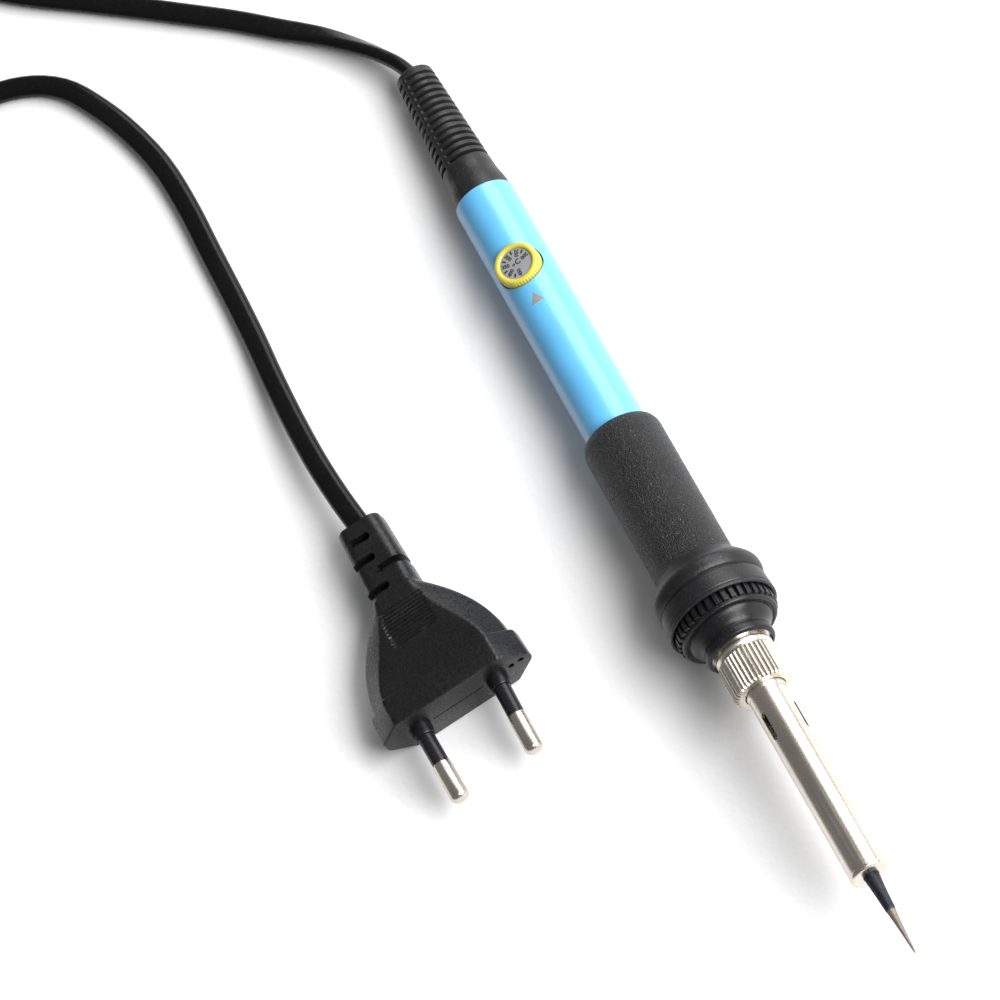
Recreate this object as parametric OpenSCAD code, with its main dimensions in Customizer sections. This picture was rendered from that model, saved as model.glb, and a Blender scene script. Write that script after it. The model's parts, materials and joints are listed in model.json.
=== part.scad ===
/* Adjustable-temperature soldering iron with a flat twin lead and a two-pin plug.
   The iron is turned about one axis.  It is drawn level, with the rear rim of the handle
   tube at zero and the tip along +X, and then tilted so that it rests on the flange of
   the grip and on the rear edge of the tube. */

/* [Handle] */
// Outside radius of the handle tube
tube_r = 6.65; // [6:0.05:7.5]
// Wall of the handle tube
tube_wall = 1.3; // [1:0.1:1.5]
// Length of tube between the boot and the grip
tube_shown = 65.2; // [60:0.2:80]
// Outside radius of the grip sleeve
grip_r = 8.6; // [8.2:0.1:9.5]
// Length of the grip sleeve behind its flange
grip_len = 35.6; // [34:0.2:50]
// Largest radius of the grip flange
flange_r = 12; // [11.9:0.1:13]

/* [Dial] */
// Radius of the dial
dial_r = 4.9; // [4.6:0.05:5]
// Distance from the rear rim of the tube to the middle of the dial
dial_x = 21.5; // [20:0.5:26]
// Height of the dial above the crown of the tube
dial_rise = 1.0; // [0.6:0.1:1.4]

/* [Front end] */
// Radius of the knurled nut
nut_r = 6.5; // [6.2:0.1:6.8]
// Length of the knurled nut
nut_len = 10.3; // [10:0.1:12]
// Outside radius of the barrel
barrel_r = 4.1; // [3.8:0.05:4.3]
// Length of barrel that shows ahead of the nut
barrel_shown = 47; // [40:1:55]
// Length of tip that shows ahead of the barrel
tip_shown = 19.1; // [16:0.1:24]

/* [Plug] */
// Width across the plug
plug_w = 35.3; // [34:0.1:36]
// Height of the plug
plug_h = 13.7; // [13:0.1:14]
// Distance between the two pins where they leave the plug
pin_pitch = 18.6; // [18:0.1:19.2]
// Radius of a pin
pin_r = 2.0; // [1.97:0.01:2.03]
// Length of a pin ahead of the plug face
pin_len = 19; // [18.5:0.1:19.5]
// Place of the middle of the plug face on the table
plug_at = [12.6, -56.1]; // [-200:0.1:200]
// Heading of the pins, turned from the X axis
plug_yaw = 0; // [-5:1:5]

/* [Lead] */
// Wide side of the flat twin lead
lead_w = 5.0; // [4.6:0.1:5.4]
// Thin side of the flat twin lead
lead_t = 3.1; // [2.8:0.1:3.4]
// Radius of the coil at the middle of its turns
coil_r = 27; // [26:1:30]
// Place of the middle of the coil on the table
coil_at = [-199, -115]; // [-300:1:300]

/* [Hidden] */
$fn = 64;
eps = 0.01;
fit = 0.03;                                 // radial room of a sliding or seated fit

// Stations along the axis of the iron
tube_bore = tube_r - tube_wall;
boot_len = 35.5;
boot_rear_r = 4.1;
grip_x = tube_shown;
flange_x = grip_x + grip_len;
flange_len = 13.1;
bulge_x = flange_x + 5.7;
lip_x = flange_x + flange_len;
tube_end = flange_x + 3.2;
spigot_x = tube_end - 10;
knurl_x = lip_x - 3.9;
disc_x = lip_x + 3.2;
neck_x = disc_x + 5.3;
nut_x = neck_x + 0.2;
nut_front = nut_x + nut_len;
bush_end = nut_front - 2.7;
barrel_x = bush_end + 0.1;
barrel_end = nut_front + barrel_shown;
tip_end = barrel_end + tip_shown;
screw_x = tube_end - 5;

// How the iron lies: on the bulge of the flange and on the rear edge of the tube
tilt = atan((flange_r - tube_r) / bulge_x);
lift = tube_r * cos(tilt);
front_reach = tip_end * cos(tilt);
rear_reach = boot_len * cos(tilt) + boot_rear_r * sin(tilt);
middle = (front_reach - rear_reach) / 2;

// Front collar
knurl_r = 11.0;
disc_r = 10.45;
ring_r = 7.65;
recess_r = 11.25;
hub_r = 9.95;

// Heater, bush and tip
thread_r = 4.9;
bush_flange_r = 6.4;
bush_bore = 3.45;
heater_r = 2.05;
heater_end = barrel_end - 4.5;
heater_x = neck_x - 15.4;
tip_body_r = 3.25;
tip_bore = 2.1;
tip_cone_r = 1.8;
tip_rear = barrel_end - 26;
tip_shoulder = barrel_end - 1.1;
barrel_bore = 3.3;
root_r = barrel_r + 0.2;                      // short rolled step where the barrel leaves the nut
slot_angles = [-37, 83, 203];

// Circuit board and dial
board_top = -0.85;
board_t = 1.2;
board_w = 9.2;
board_x = 14.6;
board_end = 55;
dial_top = tube_r + dial_rise;
dial_base = 4.4;
switch_top = 2.4;
plate_r = 3.45;
shaft_r = 1.5;
lead_offsets = [-1.5, -0.5, 0.5, 1.5];
lead_z = -0.6;
wire_r = 0.25;

// Plug, measured back from its face
flange_depth = 6.5;
bell_end = 27.2;
neck_end = 45.8;
neck_rear_w = 10;
neck_front_w = 11.2;
neck_h = 8.4;
boss_r = 2.4;
boss_len = 2.5;
sleeve_end = 9.5;
pin_toe_in = 0.9;
pin_root = 12;
sleeve_r = 1.83;
pin_core_r = 1.7;

// Lead: corner points of its two free stretches, heights at the middle of the lead
lay = lead_t / 2 + 0.05;
boot_mouth = [-(boot_len * cos(tilt)) - middle, 0, lift - boot_len * sin(tilt)];
boot_route = [boot_mouth, [-122, -1.6, 4.3], [-128, -4.8, 3.6], [-134, -8.9, 2.9],
              [-140, -13.6, 2.3], [-147, -20.2, 1.9], [-155, -27.5, lay], [-163, -35.7, lay],
              [-171, -44, lay], [-180, -53.6, lay], [-190, -64.4, lay], [-200.4, -74, lay],
              [-211, -82.1, 1.8], [-221.5, -90, 2.05]];
plug_mouth = [plug_at.x - neck_end * cos(plug_yaw), plug_at.y - neck_end * sin(plug_yaw),
              plug_h / 2];
plug_route = [plug_mouth, [-42, -57.1, 6.6], [-52, -57.8, 5.8], [-63, -58, 4.6],
              [-75, -57.8, 3.2], [-87, -57.2, 2.1], [-99, -56.8, lay], [-111, -56.5, lay],
              [-123, -56.1, lay], [-135, -56.6, lay], [-146, -58.9, lay], [-156, -62.4, lay],
              [-165, -67.2, lay], [-171.2, -74.8, lay], [-174, -84.6, 2.1], [-171, -95, 3.2],
              [-167, -105, 4.4], [-165.3, -114.5, 5.2]];
coil_half_w = 9.3;
coil_h = 6.8;
core_r = 0.84;
core_gap = 1.1;
sheath_end = 8.4;
plug_sheath_end = 23;

// ---------------------------------------------------------------- helpers

function arc(cx, cy, r, from, to, n) =
    [for (i = [0 : n]) let (a = from + (to - from) * i / n) [cx + r * cos(a), cy + r * sin(a)]];

// A smooth rise from one point of an outline to another, level at both ends
function ease(from, to, n) =
    [for (i = [0 : n]) let (s = i / n, k = s * s * (3 - 2 * s))
        [from.x + (to.x - from.x) * k, from.y + (to.y - from.y) * s]];

module on_iron() translate([-middle, 0, lift]) rotate([0, -tilt, 0]) children();

// Outline of [radius, station] points turned about the axis of the iron
module turned() rotate([0, 90, 0]) rotate_extrude($fn = 96) children();

module rod(x, len, r) translate([x, 0, 0]) rotate([0, 90, 0]) cylinder(r = r, h = len);

module ring(x, len, r_in, r_out) difference() {
    rod(x, len, r_out);
    rod(x - 1, len + 2, r_in);
}

// Round bar from one point to another
module strut(from, to, r) {
    way = to - from;
    translate(from) rotate([0, acos(way.z / norm(way)), atan2(way.y, way.x)])
        cylinder(r = r, h = norm(way));
}

module on_plug() translate([plug_at.x, plug_at.y, plug_h / 2]) rotate([0, 0, plug_yaw])
    children();

module around(count) for (i = [0 : count - 1]) rotate([i * 360 / count, 0, 0]) children();

// ---------------------------------------------------------------- handle

module handle_tube() color("deepskyblue") on_iron() difference() {
    turned() polygon(concat([[tube_bore, 0], [tube_r - 0.3, 0]],
                            arc(tube_r - 0.3, 0.3, 0.3, -60, 0, 4),
                            [[tube_r, tube_end], [tube_bore, tube_end]]));
    translate([dial_x, 0, 0]) cylinder(r = dial_r + 0.4, h = tube_r + 2);
    for (side = [0, 180]) rotate([side + 90, 0, 0]) translate([screw_x, 0, 0]) {
        cylinder(r = 1.1, h = tube_r + 1);
        translate([0, 0, tube_r - 0.9]) cylinder(r = 1.9, h = 2);
    }
}

module grip_sleeve() color([0.12, 0.12, 0.13]) on_iron() turned() polygon(concat(
    [[tube_r + fit, grip_x]],
    arc(grip_r - 1.4, grip_x + 1.4, 1.4, -90, 0, 6),
    ease([grip_r, flange_x - 0.3], [flange_r, bulge_x], 8),
    [[flange_r, bulge_x + 0.5], [flange_r - 0.12, bulge_x + 1.3], [flange_r - 0.5, bulge_x + 2],
     [flange_r - 0.65, bulge_x + 2.3], [flange_r - 0.35, bulge_x + 2.7],
     [flange_r - 0.15, lip_x - 1]],
    arc(flange_r - 0.55, lip_x - 0.4, 0.4, 0, 90, 4),
    [[recess_r, lip_x], [recess_r, knurl_x], [hub_r + fit, knurl_x], [hub_r + fit, tube_end],
     [tube_r + fit, tube_end]]));

module collar_outline() polygon(concat(
    [[3.6, spigot_x], [tube_bore - fit, spigot_x], [tube_bore - fit, tube_end + 0.02],
     [hub_r, tube_end + 0.02], [hub_r, knurl_x + 0.02], [knurl_r, knurl_x + 0.02],
     [knurl_r, disc_x - 0.9], [disc_r, disc_x - 0.9]],
    arc(disc_r - 0.4, disc_x - 0.4, 0.4, 0, 90, 4),
    [[disc_r - 0.8, disc_x], [disc_r - 1.1, disc_x - 0.25]],
    ease([disc_r - 1.3, disc_x - 0.2], [ring_r - 0.35, disc_x + 2.9], 6),
    arc(ring_r - 0.8, neck_x - 1.1, 0.8, -10, 70, 5),
    [[bush_flange_r + 0.35, neck_x], [bush_flange_r + fit, neck_x - 0.5],
     [bush_flange_r + fit, neck_x - 2.6], [thread_r + fit, neck_x - 2.6],
     [thread_r + fit, heater_x + 1], [3.6, heater_x + 1]]));

module front_collar() color([0.16, 0.16, 0.17]) on_iron() difference() {
    turned() collar_outline();
    around(38) translate([knurl_x - 1, -0.35, knurl_r - 0.8]) cube([disc_x - knurl_x + 0.1, 0.7, 2]);
    for (side = [0, 180]) rotate([side + 90, 0, 0]) translate([screw_x, 0, 0])
        cylinder(r = 0.97, h = tube_r);
}

module collar_screw() difference() {
    union() {
        translate([0, 0, 3.9]) cylinder(r = 0.95, h = tube_r - 4.6);
        translate([0, 0, tube_r - 0.88]) cylinder(r = 1.85, h = 0.55);
    }
    translate([-0.25, -1, tube_r - 0.65]) cube([0.5, 2, 1]);
}

module collar_screws() color("silver") on_iron()
    for (side = [0, 180]) rotate([side + 90, 0, 0]) translate([screw_x, 0, 0]) collar_screw();

// ---------------------------------------------------------------- heater

module heater_bush() color("lightgray") on_iron() turned() polygon([
    [bush_bore, heater_x + 1.05], [thread_r, heater_x + 1.05], [thread_r, neck_x - 2.58],
    [bush_flange_r, neck_x - 2.58], [bush_flange_r, neck_x - 0.8], [thread_r, neck_x - 0.8],
    [thread_r, bush_end - 0.5], [thread_r - 0.5, bush_end], [bush_bore, bush_end]]);

module heater_base() color("whitesmoke") on_iron() ring(heater_x + 1.05, 13, heater_r + fit,
                                                       bush_bore - fit);

module heater_rod() color("linen") on_iron() turned() polygon([
    [0, heater_x], [heater_r, heater_x], [heater_r, heater_end - 0.6],
    [heater_r - 0.6, heater_end], [0, heater_end]]);

module heater_leads() color("silver") on_iron()
    for (y = lead_offsets) translate([0, y, lead_z]) rod(board_end - 6, heater_x - board_end + 6, wire_r);

module lead_sleeves() color("ivory") on_iron()
    for (y = lead_offsets) translate([0, y, lead_z])
        ring(board_end + 2, heater_x - board_end - 4, wire_r + 0.02, 0.46);

// ---------------------------------------------------------------- circuit

module circuit_board() color("darkgreen") on_iron() difference() {
    translate([board_x, -board_w / 2, board_top - board_t])
        cube([board_end - board_x, board_w, board_t]);
    for (x = [board_x + 2, board_end - 2.5]) for (y = lead_offsets)
        translate([x, y * 1.6, board_top - 2]) cylinder(r = 0.4, h = 3);
}

module potentiometer() color("royalblue") on_iron() translate([dial_x, 0, 0]) difference() {
    translate([-3.5, -3.5, board_top]) cube([7, 7, switch_top - board_top]);
    translate([0, 0, 0.5]) cylinder(r = shaft_r + fit, h = 4);
}

module triac() color([0.1, 0.1, 0.1]) on_iron() translate([34, 0, board_top]) intersection() {
    cylinder(r = 2.4, h = 4.2);
    translate([-2.4, -3, 0]) cube([3.7, 6, 4.2]);
}

module diac() color("indianred") on_iron() translate([40, -2, board_top + 0.95]) rod(0, 4.2, 0.95);

module capacitor() color("peru") on_iron() translate([39.6, 0.2, board_top]) cube([6.6, 3.6, 3.6]);

module resistors() color("wheat") on_iron() for (x = [27.5, 30]) translate([x, 0, board_top + 0.9])
    rotate([90, 0, 0]) translate([0, 0, -2.9]) cylinder(r = 0.9, h = 5.8);

// The two cores leave the sheath one above the other and settle side by side on the board
module supply_wires() color("saddlebrown") on_iron() for (side = [-1, 1])
    strut([sheath_end + 0.25, 0, side * core_gap], [board_x + 3, side * 1.4, 0.62], core_r);

// ---------------------------------------------------------------- cord entry

boot_grooves = 14;
groove_pitch = 1.83;
boot_shoulder = 6.8;
boot_neck_r = 5.6;
spine_turn = -30;

function boot_radius(x) =
    boot_rear_r + (boot_neck_r - boot_rear_r) * (x + boot_len) / (boot_len - boot_shoulder);

module flat_section(w, t) {
    for (y = [-1, 1]) translate([0, y * (w - t) / 2]) circle(r = t / 2);
    square([t, w - t], center = true);
}

// The lead's flat section stands on edge where it runs through the boot
module flat_lead(x, len, gap) translate([x, 0, 0]) rotate([0, 90, 0]) rotate([0, 0, 90])
    linear_extrude(len) flat_section(lead_w + 2 * gap, lead_t + 2 * gap);

module boot_groove(x) translate([x, 0, 0]) rotate([0, 90, 0]) rotate([0, 0, spine_turn]) difference() {
    cylinder(r = boot_neck_r + 2, h = 0.85);
    translate([0, 0, -1]) cylinder(r = boot_radius(x) - 0.85, h = 3);
    translate([-8, -0.75, -1]) cube([16, 1.5, 3]);
}

module strain_relief_boot() color([0.2, 0.2, 0.2]) on_iron() difference() {
    turned() polygon(concat(
        [[0, -boot_len]],
        arc(boot_rear_r - 0.7, 0.7 - boot_len, 0.7, -90, 0, 4),
        ease([boot_neck_r, -boot_shoulder], [tube_r - 0.35, -1.6], 6),
        [[tube_r - 0.25, 0], [tube_bore - fit, 0], [tube_bore - fit, 6], [0, 6]]));
    for (i = [0 : boot_grooves - 1]) boot_groove(1.9 - boot_len + i * groove_pitch);
    flat_lead(-boot_len - 1, boot_len + 10, fit);
}

module lead_inside() color([0.08, 0.08, 0.08]) on_iron()
    flat_lead(-boot_len, boot_len + sheath_end, 0);

module lead_stop_clip() color("white") on_iron() difference() {
    rod(6.3, 1.8, 4.3);
    flat_lead(5, 5, fit);
}

// ---------------------------------------------------------------- dial

module dial_shaft() color("dimgray") on_iron() translate([dial_x, 0, 0.6])
    cylinder(r = shaft_r, h = 5);

module dial_ring() color("yellow") on_iron() translate([dial_x, 0, 0]) difference() {
    rotate_extrude($fn = 96) polygon(concat(
        [[0, dial_base], [dial_r - 0.3, dial_base], [dial_r, dial_base + 0.3]],
        arc(dial_r - 0.5, dial_top - 0.5, 0.5, 0, 90, 4),
        [[plate_r + 0.5, dial_top], [plate_r + fit, dial_top - 0.4], [plate_r + fit, dial_top - 0.9],
         [0, dial_top - 0.9]]));
    translate([0, 0, dial_base - 1]) cylinder(r = shaft_r + fit, h = 2.25);
    for (i = [0 : 43]) rotate([0, 0, i * 360 / 44]) translate([dial_r + 0.04, 0, dial_base - 1])
        cylinder(r = 0.16, h = dial_top - dial_base + 0.3, $fn = 16);
}

module dial_plate() color("gainsboro") on_iron() translate([dial_x, 0, dial_top - 0.9 + eps])
    cylinder(r = plate_r, h = 0.5);

// ---------------------------------------------------------------- front end

module tip() color("dimgray") on_iron() turned() polygon(concat(
    [[tip_bore, tip_rear], [tip_body_r, tip_rear], [tip_body_r, tip_shoulder],
     [tip_cone_r, tip_shoulder], [tip_cone_r, barrel_end + 0.6]],
    [[tip_cone_r - 0.3, barrel_end + 4.5], [0.7, barrel_end + 11.5], [0.2, tip_end - 0.15],
     [0, tip_end], [0, heater_end + 0.6], [tip_bore, heater_end + 0.6]]));

module barrel_window() {
    for (x = [6.2, 11.4]) translate([nut_front + x, 0, 0]) cylinder(r = 0.65, h = barrel_r + 1);
    translate([nut_front + 6.2, -0.65, 0]) cube([5.2, 1.3, barrel_r + 1]);
}

module barrel() color("silver") on_iron() difference() {
    turned() polygon(concat(
        [[barrel_bore, barrel_x], [thread_r - 0.15, barrel_x], [thread_r - 0.15, barrel_x + 1],
         [root_r, barrel_x + 1], [root_r, nut_front + 0.6], [barrel_r, nut_front + 0.8]],
        arc(barrel_r - 0.35, barrel_end - 0.35, 0.35, 0, 90, 4),
        [[tip_cone_r + 0.06, barrel_end], [tip_cone_r + 0.06, barrel_end - 1],
         [barrel_bore, barrel_end - 1]]));
    for (a = slot_angles) rotate([-a, 0, 0]) barrel_window();
}

knurl_count = 40;

module barrel_nut() color("gainsboro") on_iron() difference() {
    turned() polygon(concat(
        [[thread_r + 0.07, nut_x], [nut_r - 0.9, nut_x]],
        arc(nut_r - 0.9, nut_x + 0.6, 0.6, -60, 60, 6),
        [[nut_r - 0.6, nut_x + 1.5], [nut_r - 0.35, nut_x + 1.9], [nut_r, nut_x + 2.3],
         [nut_r, nut_front - 0.5], [nut_r - 0.45, nut_front], [root_r + 0.08, nut_front],
         [root_r + 0.08, barrel_x + 1.1], [thread_r + 0.07, barrel_x + 1.1]]));
    around(knurl_count) translate([nut_x + 2, 0, nut_r + 0.06]) rotate([45, 0, 0])
        translate([0, -0.3, -0.3]) cube([nut_len, 0.6, 0.6]);
}

// ---------------------------------------------------------------- lead

function spline(p, i, s) =
    let (a = p[max(i - 1, 0)], b = p[i], c = p[i + 1], d = p[min(i + 2, len(p) - 1)])
    0.5 * (2 * b + (c - a) * s + (2 * a - 5 * b + 4 * c - d) * s * s
           + (3 * b - a - 3 * c + d) * s * s * s);

function smooth(p, n) =
    concat([for (i = [0 : len(p) - 2]) for (k = [0 : n - 1]) spline(p, i, k / n)], [p[len(p) - 1]]);

function unit(v) = v / norm(v);

function heading(p, i) = unit(p[min(i + 1, len(p) - 1)] - p[max(i - 1, 0)]);

// Heading of a ring, where the first ring lies square to the mouth that it leaves
function ring_heading(p, i, start) = i == 0 ? start : heading(p, i);

// Turn of the wide side from upright to flat, from the first ring to the last of the twist
function lead_turn(i, twist) = twist == 0 ? 90 : 90 * min(i / twist, 1);

function section(t, w, h) =
    [(w / 2 - h / 2) * sign(cos(t)) * (abs(cos(t)) < 0.01 ? 0 : 1) + h / 2 * cos(t), h / 2 * sin(t)];

sides = 12;

function ring_points(c, dir, turn) =
    let (side = unit(cross([0, 0, 1], dir)), up = cross(dir, side),
         wide = side * sin(turn) + up * cos(turn), thin = cross(dir, wide))
    [for (k = [0 : sides - 1]) let (q = section(k * 360 / sides + 15, lead_w, lead_t))
        c + wide * q.x + thin * q.y];

module lead_tube(route, start, twist) {
    path = smooth(route, 2);
    n = len(path);
    points = [for (i = [0 : n - 1])
        each ring_points(path[i], ring_heading(path, i, start), lead_turn(i, twist))];
    skin = [for (i = [0 : n - 2]) for (k = [0 : sides - 1])
        let (a = i * sides + k, b = i * sides + (k + 1) % sides)
        each [[a, a + sides, b], [b, a + sides, b + sides]]];
    first = [for (k = [0 : sides - 1]) k];
    last = [for (k = [sides - 1 : -1 : 0]) (n - 1) * sides + k];
    polyhedron(points, concat(skin, [first, last]), convexity = 10);
}

module cord_boot_side() color([0.1, 0.1, 0.1])
    lead_tube(boot_route, [-cos(tilt), 0, -sin(tilt)], 12);

module cord_plug_side() color([0.1, 0.1, 0.1])
    lead_tube(plug_route, [-cos(plug_yaw), -sin(plug_yaw), 0], 0);

module coil_section() {
    r = 2.4;
    for (x = [-1, 1]) for (z = [r, coil_h - r])
        translate([coil_r + x * (coil_half_w - r), z]) circle(r = r);
    translate([coil_r - coil_half_w, r]) square([2 * coil_half_w, coil_h - 2 * r]);
    translate([coil_r - coil_half_w + r, 0]) square([2 * (coil_half_w - r), coil_h]);
}

module cord_coil() color([0.1, 0.1, 0.1]) translate([coil_at.x, coil_at.y, 0])
    rotate_extrude($fn = 96) coil_section();

module coil_tie() color([0.25, 0.25, 0.25]) translate([coil_at.x, coil_at.y, 0]) rotate([0, 0, 215])
    translate([coil_r, 1.5, 0]) rotate([90, 0, 0]) linear_extrude(3) difference() {
        translate([-coil_half_w - 0.6, 0]) square([2 * coil_half_w + 1.2, coil_h + 0.6]);
        translate([-coil_half_w, 0.5]) square([2 * coil_half_w, coil_h - 0.5]);
    }

// ---------------------------------------------------------------- plug

// Outline of the plug seen from above, half of it, from the face back to the neck
function bell_half() = concat(
    [[0, plug_w / 2 - 0.6], [-0.6, plug_w / 2], [-flange_depth, plug_w / 2 - 0.4]],
    [for (i = [0 : 10]) let (s = i / 10, k = pow(s, 1.9))
        [-flange_depth - 0.8 - (bell_end - flange_depth - 0.8) * s,
         (plug_w / 2 - 1.6) * (1 - k) + neck_front_w / 2 * k]]);

function flip(p) = [for (i = [len(p) - 1 : -1 : 0]) [p[i].x, -p[i].y]];

module bell_plan() polygon(concat(bell_half(), flip(bell_half())));

// Side outline of the bell: full height at the face, lower towards the neck
module bell_side() polygon([
    [0, -plug_h / 2 + 0.5], [0, plug_h / 2 - 0.5], [-0.5, plug_h / 2], [-flange_depth, plug_h / 2],
    [-flange_depth - 0.5, plug_h / 2 - 0.5], [-bell_end, neck_h / 2 + 0.6],
    [-bell_end, -neck_h / 2 - 0.6], [-flange_depth - 0.5, -plug_h / 2 + 0.5],
    [-flange_depth, -plug_h / 2], [-0.5, -plug_h / 2]]);

// End outline of the plug: flat above and below, running out to a blunt edge at each side
module bell_front() {
    edge = 1.6;
    flat = plug_w / 2 - 5.2;
    polygon([[plug_w / 2, -edge], [plug_w / 2, edge], [flat + 1, plug_h / 2 - 0.9], [flat, plug_h / 2],
             [-flat, plug_h / 2], [-flat - 1, plug_h / 2 - 0.9], [-plug_w / 2, edge],
             [-plug_w / 2, -edge], [-flat - 1, -plug_h / 2 + 0.9], [-flat, -plug_h / 2],
             [flat, -plug_h / 2], [flat + 1, -plug_h / 2 + 0.9]]);
}

module bell() intersection() {
    translate([0, 0, -plug_h / 2]) linear_extrude(plug_h) bell_plan();
    translate([0, plug_w / 2, 0]) rotate([90, 0, 0]) linear_extrude(plug_w) bell_side();
    translate([-bell_end, 0, 0]) rotate([90, 0, 90]) linear_extrude(bell_end) bell_front();
}

module neck() intersection() {
    translate([0, 0, -neck_h / 2]) linear_extrude(neck_h) polygon([
        [-bell_end + 1, neck_front_w / 2], [-neck_end + 1, neck_rear_w / 2],
        [-neck_end, neck_rear_w / 2 - 1], [-neck_end, -neck_rear_w / 2 + 1],
        [-neck_end + 1, -neck_rear_w / 2], [-bell_end + 1, -neck_front_w / 2]]);
    translate([-neck_end, 0, 0]) rotate([90, 0, 90]) linear_extrude(neck_end - bell_end + 1) {
        round_edge = 1.6;
        for (y = [-1, 1]) translate([y * (neck_front_w / 2 - round_edge), 0])
            square([2 * round_edge, neck_h - 2 * round_edge], center = true);
        for (y = [-1, 1]) for (z = [-1, 1])
            translate([y * (neck_front_w / 2 - round_edge), z * (neck_h / 2 - round_edge)])
                circle(r = round_edge);
        square([neck_front_w - 2 * round_edge, neck_h], center = true);
    }
}

// Flexing slots of the neck, in its upper and lower faces: distance from the rear end, and the
// two sides that each one reaches
neck_cuts = [[4.2, -3.1, 1.5], [9, -7, 0], [12.2, -1.2, 7], [16.2, -7, 0]];

module neck_slots() for (cut = neck_cuts) for (z = [-1, 1])
    translate([-neck_end + cut[0] - 0.75, cut[1], z * neck_h / 2 - 1.2])
        cube([1.5, cut[2] - cut[1], 2.4]);

module pin_place(side) translate([0, side * pin_pitch / 2, 0]) rotate([0, 0, -side * pin_toe_in])
    children();

// Fine grip grooves across the upper and lower faces of the bell
bell_slope = (plug_h / 2 - neck_h / 2 - 1.1) / (bell_end - flange_depth - 0.5);

module grip_grooves() for (i = [0 : 9]) for (z = [-1, 1]) let (x = -24 + i * 0.95)
    translate([x, 0, z * (plug_h / 2 - 0.5 + (x + flange_depth + 0.5) * bell_slope)])
        cube([0.45, 10.2, 0.6], center = true);

module plug_body() color([0.14, 0.14, 0.14]) on_plug() difference() {
    union() {
        bell();
        neck();
    }
    neck_slots();
    grip_grooves();
    plug_hollow();
    plug_lead(-neck_end - 1, neck_end - plug_sheath_end + 2, fit);
}

// Room inside the moulding for the bridge, the pin roots and the two cores
module plug_hollow() translate([0, 0, -3.6]) linear_extrude(7.2)
    polygon([[1, 13.3], [-8.5, 13.3], [-13, 11], [-23.5, 3.4], [-23.5, -3.4], [-13, -11],
             [-8.5, -13.3], [1, -13.3]]);

// The lead lies flat where it runs through the plug
module plug_lead(x, len, gap) translate([x, 0, 0]) rotate([0, 90, 0])
    linear_extrude(len) flat_section(lead_w + 2 * gap, lead_t + 2 * gap);

module lead_in_plug() color([0.08, 0.08, 0.08]) on_plug()
    plug_lead(-neck_end, neck_end - plug_sheath_end, 0);

module plug_bridge() color([0.2, 0.2, 0.2]) on_plug() difference() {
    union() {
        translate([-pin_root + 4, -pin_pitch / 2 - 3.9, -3.5]) cube([pin_root - 4.4, pin_pitch + 7.8, 7]);
        for (side = [-1, 1]) pin_place(side) rod(-2, 2 + boss_len, boss_r);
    }
    for (side = [-1, 1]) pin_place(side) rod(-20, 40, sleeve_r + fit);
}

module plug_pin() turned() polygon(concat(
    [[0, -pin_root], [pin_core_r, -pin_root], [pin_core_r, sleeve_end], [pin_r, sleeve_end + 0.3]],
    arc(pin_r - 1, pin_len - 1, 1, 0, 90, 6), [[0, pin_len]]));

module pin_sleeve() difference() {
    rod(-6, sleeve_end + 6, sleeve_r);
    rod(-7, sleeve_end + 8, pin_core_r + eps);
}

module plug_pin_left() color("gainsboro") on_plug() pin_place(1) plug_pin();
module plug_pin_right() color("gainsboro") on_plug() pin_place(-1) plug_pin();
module pin_sleeve_left() color([0.1, 0.1, 0.1]) on_plug() pin_place(1) pin_sleeve();
module pin_sleeve_right() color([0.1, 0.1, 0.1]) on_plug() pin_place(-1) pin_sleeve();

// Each core runs from the sheath to the root of its pin
module plug_cores() color("saddlebrown") on_plug() for (side = [-1, 1])
    strut([-plug_sheath_end + 0.6, side * core_gap, 0], [-pin_root - 0.7, side * pin_pitch / 2, 0],
          core_r);

// ---------------------------------------------------------------- all the pieces

handle_tube();
grip_sleeve();
front_collar();
collar_screws();
heater_bush();
heater_base();
heater_rod();
heater_leads();
lead_sleeves();
circuit_board();
potentiometer();
triac();
diac();
capacitor();
resistors();
supply_wires();
strain_relief_boot();
lead_inside();
lead_stop_clip();
dial_shaft();
dial_ring();
dial_plate();
tip();
barrel();
barrel_nut();
cord_boot_side();
cord_coil();
coil_tie();
cord_plug_side();
plug_body();
plug_bridge();
plug_pin_left();
plug_pin_right();
pin_sleeve_left();
pin_sleeve_right();
lead_in_plug();
plug_cores();
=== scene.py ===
"""Adjustable-temperature soldering iron with its mains lead and plug, on a pale studio floor.

The script is laid out as an add-on: each piece, or group of like pieces, has its own operator
in the sidebar, with its measures in a settings group.  Lengths inside the piece builders are
millimetres; they turn into metres where a mesh is made.
"""

import json
import math

import bmesh
import bpy
from mathutils import Matrix, Vector, noise


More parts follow.
